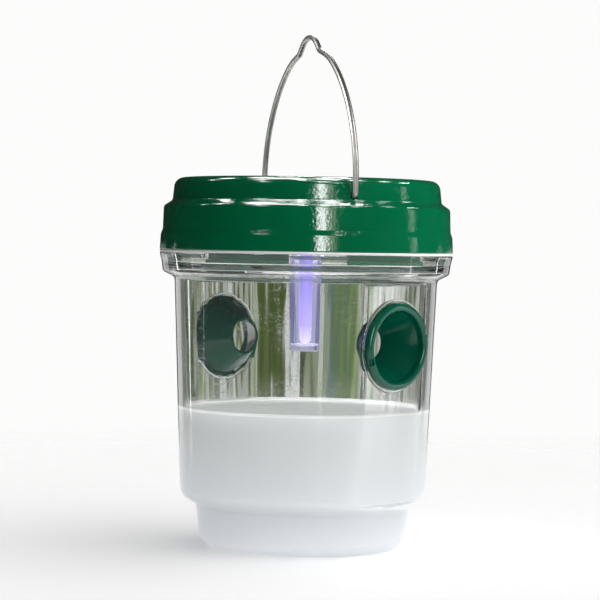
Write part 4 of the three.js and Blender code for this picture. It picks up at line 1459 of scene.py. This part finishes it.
# Each lamp: its name, heading and height angle in degrees, distance, width and height in metres,
# brightness, and colour. The wire's own lamps are white.
LAMPS = [
    ("key_window", -33.5, 13, 0.80, 0.080, 0.42, 22.0, (1.0, 1.0, 1.0)),
    ("warm_window", -26.5, 13, 0.80, 0.075, 0.42, 3.5, (1.0, 0.90, 0.76)),
    ("low_window", -31.0, -7, 0.80, 0.060, 0.25, 5.0, (1.0, 1.0, 1.0)),
    ("flat_window", 44.4, -3, 0.90, 0.034, 0.70, 6.0, (0.95, 0.97, 1.0)),
    ("left_sliver", 216, -10, 0.85, 0.010, 0.30, 3.5, (1.0, 1.0, 1.0)),
    ("left_edge", 193, -10, 0.85, 0.026, 0.30, 8.0, (1.0, 0.98, 0.94)),
    ("right_edge", 80, -10, 0.85, 0.026, 0.30, 8.0, (1.0, 1.0, 1.0)),
    ("left_rim", 166, -10, 0.85, 0.28, 0.30, 0.9, (1.0, 0.98, 0.95)),
    ("right_rim", 104, -10, 0.85, 0.28, 0.30, 0.9, (1.0, 1.0, 1.0)),
]
WIRE_LAMPS = [
    ("wire_left", -125, 35, 0.9, 0.30, 0.60, 11.0),
    ("wire_right", 20, 30, 0.9, 0.20, 0.60, 9.0),
    ("wire_front", -50, 20, 0.9, 0.06, 0.60, 14.0),
    ("wire_back", 135, 30, 0.9, 0.30, 0.60, 6.0),
]
HIGH_PANELS = 21
HIGH_PANEL_BRIGHTNESS = 55.0
LAMP_AIM_Z = 0.12

# Grey upright bands seen only through clear plastic: heading from and to in degrees, and grey.
FLAGS = [(28, 62, 0.45), (200, 244, 0.40)]
# A row of narrow upright cards, also seen only through clear plastic, that begins again all round:
# the row's length and the heading where one begins, in degrees, then each card's place and colour.
CARD_RUN = 7.2
CARD_FIRST = 129.96
CARDS = [
    (0.2, (0.35, 0.36, 0.30)), (0.6, (0.72, 0.74, 0.72)),
    (0.95, (0.12, 0.14, 0.08)), (1.5, (0.222, 0.255, 0.17)), (1.74, (0.75, 0.76, 0.75)),
    (2.14, (0.16, 0.18, 0.11)), (2.54, (0.515, 0.541, 0.489)),
    (2.74, (0.361, 0.434, 0.264)), (2.98, (0.222, 0.31, 0.125)),
    (3.34, (0.15, 0.214, 0.084)), (3.66, (0.12, 0.18, 0.086)),
    (3.94, (0.125, 0.187, 0.184)), (4.14, (0.251, 0.31, 0.273)),
    (4.46, (0.282, 0.325, 0.206)), (4.82, (0.191, 0.222, 0.143)),
    (5.06, (0.045, 0.059, 0.028)), (5.34, (0.114, 0.14, 0.075)),
    (5.44, (0.725, 0.733, 0.725)), (5.8, (0.686, 0.709, 0.686)),
    (5.94, (0.084, 0.114, 0.026)), (6.3, (0.048, 0.077, 0.012)),
    (6.7, (0.067, 0.098, 0.019)), (6.98, (0.106, 0.137, 0.042)),
    (7.14, (0.477, 0.502, 0.464)),
]
BRIGHT_SIDE = (0.68, 0.68, 0.27)  # direction that most of the soft light comes from
FILL = (0.02, 2.45)  # brightness of the surroundings away from it and towards it
MIRRORED = (0.40, 0.02)  # brightness that glossy skins see below them and above them
IN_THE_WALL = 0.75  # brightness of light that has run inside a clear wall


def point_towards(thing, place, target):
    """Stands a lamp at a place and turns it to face a target."""
    place, target = Vector(place), Vector(target)
    turn = (target - place).to_track_quat("-Z", "Y")
    thing.matrix_world = Matrix.Translation(place) @ turn.to_matrix().to_4x4()


def area_lamp(name, heading, height, distance, size_x, size_y, brightness, rgb, kind="window"):
    """A panel of light that shows in glossy skins only; the surroundings light the rest."""
    data = bpy.data.lights.new(name, "AREA")
    data.shape = "RECTANGLE"
    data.size, data.size_y = size_x, size_y
    data.energy = brightness * math.pi * size_x * size_y
    data.color = rgb
    lamp = bpy.data.objects.new(name, data)
    bpy.context.scene.collection.objects.link(lamp)
    a, e = math.radians(heading), math.radians(height)
    middle = Vector((0, 0, LAMP_AIM_Z))
    aim = Vector((math.cos(a) * math.cos(e), math.sin(a) * math.cos(e), math.sin(e)))
    point_towards(lamp, middle + aim * distance, middle)
    lamp.visible_camera = False
    lamp.visible_diffuse = False
    lamp.visible_transmission = False
    lamp.light_linking.receiver_collection = lit_pieces(kind)


def make_lamps():
    for lamp in LAMPS:
        area_lamp(*lamp)
    for k in range(HIGH_PANELS):
        heading, height = 360 / HIGH_PANELS * (k + 0.35 * (k % 2)), 40 + 13 * (k * 7 % 4)
        width, tall = 0.05 + 0.03 * (k * 5 % 3), 0.05 + 0.04 * (k * 3 % 4)
        area_lamp(f"high_panel_{k}", heading, height, 0.9, width, tall,
                  HIGH_PANEL_BRIGHTNESS, (1, 1, 1), "high_panel")
    area_lamp("top_softbox", -45, 84, 1.3, 0.7, 0.7, 1.0, (1, 1, 1), "high_panel")
    for lamp in WIRE_LAMPS:
        area_lamp(*lamp, (1, 1, 1), "wire_light")


def make_camera():
    data = bpy.data.cameras.new("studio_camera")
    data.sensor_width = 36
    data.lens = sizes().lens_mm
    data.clip_start, data.clip_end = 0.01, 100
    camera = bpy.data.objects.new("studio_camera", data)
    bpy.context.scene.collection.objects.link(camera)
    a = CAMERA_HEADING
    ahead = Vector((-math.cos(a + CAMERA_YAW), -math.sin(a + CAMERA_YAW),
                    -math.tan(CAMERA_DIP))).normalized()
    right = ahead.cross(Vector((0, 0, 1))).normalized()
    up = right.cross(ahead)
    tilted_up = up * math.cos(CAMERA_ROLL) - right * math.sin(CAMERA_ROLL)
    tilted_right = ahead.cross(tilted_up)
    axes = Matrix((tilted_right, tilted_up, -ahead)).transposed().to_4x4()
    place = Vector((CAMERA_REACH * math.cos(a), CAMERA_REACH * math.sin(a), CAMERA_HEIGHT))
    camera.matrix_world = Matrix.Translation(place) @ axes
    bpy.context.scene.camera = camera


def make_world():
    world = bpy.data.worlds.new("studio")
    bpy.context.scene.world = world
    world.use_nodes = True
    world.cycles.sampling_method = "NONE"
    tree = world.node_tree
    tree.nodes.clear()
    direction = put(tree, "ShaderNodeTexCoord").outputs["Generated"]
    x, y, z = put(tree, "ShaderNodeSeparateXYZ", {0: direction}).outputs
    heading = maths(tree, "MULTIPLY", maths(tree, "ARCTAN2", y, x), 180 / math.pi)
    heading = maths(tree, "FLOORED_MODULO", heading, 360.0)
    shade = 0.0
    for start, stop, grey in FLAGS:
        rise = remapped(tree, heading, start, start + 8, 0.0, 1.0)
        fall = remapped(tree, heading, stop - 8, stop, 1.0, 0.0)
        inside = maths(tree, "MULTIPLY", maths(tree, "MULTIPLY", rise, fall), 1 - grey)
        shade = maths(tree, "ADD", inside, shade)
    low = remapped(tree, z, 0.35, 0.6, 1.0, 0.0)
    level = maths(tree, "SUBTRACT", 1.0, maths(tree, "MULTIPLY", shade, low))
    past_first = maths(tree, "SUBTRACT", heading, CARD_FIRST)
    run = maths(tree, "FLOORED_MODULO", maths(tree, "MULTIPLY", past_first, 1 / CARD_RUN), 1.0)
    cards = put(tree, "ShaderNodeValToRGB", {0: run})
    while len(cards.color_ramp.elements) < len(CARDS):
        cards.color_ramp.elements.new(0.5)
    for stop, (at, rgb) in zip(cards.color_ramp.elements, CARDS):
        stop.position = at / CARD_RUN
        stop.color = rgb + (1,)
    below = remapped(tree, z, -0.16, -0.06, 0.6, 0.0)
    tone = blended(tree, below, cards.outputs["Color"], BACKDROP + (1,))
    side = put(tree, "ShaderNodeVectorMath", {0: direction, 1: BRIGHT_SIDE},
               operation="DOT_PRODUCT")
    fill = remapped(tree, side.outputs["Value"], -0.25, 1.0, *FILL)
    mirrored_level = remapped(tree, z, -0.35, -0.05, *MIRRORED)
    white = (1.0, 1.0, 1.0, 1.0)
    seen, through, mirrored, in_wall, diffuse = [
        put(tree, "ShaderNodeBackground", {"Color": rgb, "Strength": strength}).outputs[0]
        for rgb, strength in ((BACKDROP + (1,), 1.0), (tone, level),
                              ((0.92, 0.96, 1, 1), mirrored_level),
                              (BACKDROP + (1,), IN_THE_WALL), (white, fill))
    ]
    path = put(tree, "ShaderNodeLightPath").outputs
    once_mirrored = maths(tree, "GREATER_THAN", path["Glossy Depth"], 0.5)
    once_diffuse = maths(tree, "GREATER_THAN", path["Diffuse Depth"], 0.5)
    walls = path["Transmission Depth"]
    one_wall = maths(tree, "MULTIPLY", maths(tree, "GREATER_THAN", walls, 0.5),
                     maths(tree, "LESS_THAN", walls, 3.5))
    mirror_share = remapped(tree, path["Glossy Depth"], 1.0, 2.0, 0.28, 1.0)
    ran_in_wall = maths(tree, "MULTIPLY", one_wall, mirror_share)
    ran_in_wall = maths(tree, "MULTIPLY", ran_in_wall, once_mirrored)
    mix = through
    for share, light in ((path["Is Camera Ray"], seen), (once_mirrored, mirrored),
                         (ran_in_wall, in_wall),
                         (once_diffuse, diffuse)):
        mix = put(tree, "ShaderNodeMixShader", {0: share, 1: mix, 2: light}).outputs[0]
    out = put(tree, "ShaderNodeOutputWorld")
    tree.links.new(mix, out.inputs["Surface"])


def make_floor():
    """A wide pale floor that fades into the backdrop."""
    slab = [(0, -0.3), (40, -0.3), (200, -0.3), (900, -0.3), (900, -1.3), (0, -1.3)]
    floor = revolved("studio_floor", slab, np.arange(96) * 2 * math.pi / 96)
    material, tree, shader, vector = finish(
        "pale_floor", {"Roughness": 0.6, "Specular IOR Level": 0.1, "Emission Strength": 0.20})
    grain = noise(tree, vector, 160.0, 4.0)
    share = remapped(tree, grain, 0.3, 0.7, 0.0, 1.0)
    tree.links.new(blended(tree, share, (0.86, 0.86, 0.855, 1), (0.88, 0.88, 0.875, 1)),
                   shader.inputs["Base Color"])
    bumped(tree, shader, grain, 0.05, 0.0005)
    flat = put(tree, "ShaderNodeVectorMath", {0: vector, 1: (1, 1, 0)},
               operation="MULTIPLY").outputs[0]
    away = put(tree, "ShaderNodeVectorMath", {0: flat}, operation="LENGTH").outputs["Value"]
    fade = remapped(tree, away, 0.10, 0.60, 0.0, 1.0)
    beyond = put(tree, "ShaderNodeBsdfTransparent").outputs[0]
    mix = put(tree, "ShaderNodeMixShader", {0: fade, 1: shader.outputs[0], 2: beyond})
    tree.links.new(mix.outputs[0], tree.nodes["Material Output"].inputs["Surface"])
    floor.data.materials.append(material)


# ---------------------------------------------------------------- operators

class TRAP_OT_stage(Operator):
    """Makes the camera, the soft studio light and the pale floor"""

    bl_idname = "trap.make_stage"
    bl_label = "Stage"

    def execute(self, context):
        context.scene.view_settings.view_transform = "Standard"
        make_world()
        make_camera()
        make_lamps()
        make_floor()
        return {"FINISHED"}


class TRAP_OT_jar(Operator):
    """Makes the clear jar with its two flats, entry holes and bayonet ribs"""

    bl_idname = "trap.make_jar"
    bl_label = "Jar"

    def execute(self, context):
        make_jar()
        return {"FINISHED"}


class TRAP_OT_bait(Operator):
    """Makes the milky bait, up to its level"""

    bl_idname = "trap.make_bait"
    bl_label = "Bait"

    def execute(self, context):
        make_bait()
        return {"FINISHED"}


class TRAP_OT_funnels(Operator):
    """Makes the two entry funnels"""

    bl_idname = "trap.make_funnels"
    bl_label = "Entry funnels"

    def execute(self, context):
        make_funnel("entry_funnel_front", 0, "entry_funnel_front")
        make_funnel("entry_funnel_rear", math.pi, "entry_funnel_rear")
        return {"FINISHED"}


class TRAP_OT_seal(Operator):
    """Makes the silicone ring between the jar and the lid"""

    bl_idname = "trap.make_seal"
    bl_label = "Lid seal"

    def execute(self, context):
        make_seal()
        return {"FINISHED"}


class TRAP_OT_lid(Operator):
    """Makes the green lid shell with its crown, tabs and panel pocket"""

    bl_idname = "trap.make_lid"
    bl_label = "Lid shell"

    def execute(self, context):
        make_lid()
        return {"FINISHED"}


class TRAP_OT_solar_panel(Operator):
    """Makes the solar panel and its clear cover"""

    bl_idname = "trap.make_solar_panel"
    bl_label = "Solar panel"

    def execute(self, context):
        make_solar_panel()
        return {"FINISHED"}


class TRAP_OT_handle(Operator):
    """Makes the wire handle that the trap hangs from"""

    bl_idname = "trap.make_handle"
    bl_label = "Wire handle"

    def execute(self, context):
        make_handle()
        return {"FINISHED"}


class TRAP_OT_lamp(Operator):
    """Makes the light tube, its ring and nut, and the violet lamp in it"""

    bl_idname = "trap.make_lamp"
    bl_label = "Lamp"

    def execute(self, context):
        make_light_tube()
        make_lamp_seat()
        make_lamp()
        return {"FINISHED"}


class TRAP_OT_base_plate(Operator):
    """Makes the plate that closes the lid from below, and the battery door"""

    bl_idname = "trap.make_base_plate"
    bl_label = "Base plate and door"

    def execute(self, context):
        make_base_plate()
        make_door()
        return {"FINISHED"}


class TRAP_OT_screws(Operator):
    """Makes all the screws"""

    bl_idname = "trap.make_screws"
    bl_label = "Screws"

    def execute(self, context):
        make_screws()
        return {"FINISHED"}


class TRAP_OT_electronics(Operator):
    """Makes the circuit board, the switch and the wires"""

    bl_idname = "trap.make_electronics"
    bl_label = "Electronics"

    def execute(self, context):
        make_board()
        make_switch()
        make_leads()
        return {"FINISHED"}


class TRAP_OT_battery(Operator):
    """Makes the battery, its contacts and its spring"""

    bl_idname = "trap.make_battery"
    bl_label = "Battery"

    def execute(self, context):
        make_battery()
        return {"FINISHED"}


OPERATORS = (
    TRAP_OT_stage, TRAP_OT_jar, TRAP_OT_bait, TRAP_OT_funnels, TRAP_OT_seal, TRAP_OT_lid,
    TRAP_OT_solar_panel, TRAP_OT_handle, TRAP_OT_lamp, TRAP_OT_base_plate, TRAP_OT_screws,
    TRAP_OT_electronics, TRAP_OT_battery,
)


class TRAP_PT_workshop(Panel):
    """Lists the trap's sizes, colours and pieces in the sidebar"""

    bl_idname = "TRAP_PT_workshop"
    bl_label = "Wasp Trap"
    bl_space_type = "VIEW_3D"
    bl_region_type = "UI"
    bl_category = "Wasp Trap"

    def draw(self, context):
        for settings in (context.scene.trap_sizes, context.scene.trap_colours):
            box = self.layout.box()
            for name in settings.__annotations__:
                box.prop(settings, name)
        for operator in OPERATORS:
            self.layout.operator(operator.bl_idname)


CLASSES = (TrapSizes, TrapColours) + OPERATORS + (TRAP_PT_workshop,)


def register():
    for cls in CLASSES:
        bpy.utils.register_class(cls)
    bpy.types.Scene.trap_sizes = PointerProperty(type=TrapSizes)
    bpy.types.Scene.trap_colours = PointerProperty(type=TrapColours)


def unregister():
    del bpy.types.Scene.trap_colours
    del bpy.types.Scene.trap_sizes
    for cls in reversed(CLASSES):
        bpy.utils.unregister_class(cls)


def main():
    register()
    for operator in OPERATORS:
        group, name = operator.bl_idname.split(".")
        getattr(getattr(bpy.ops, group), name)()


if __name__ == "__main__":
    main()
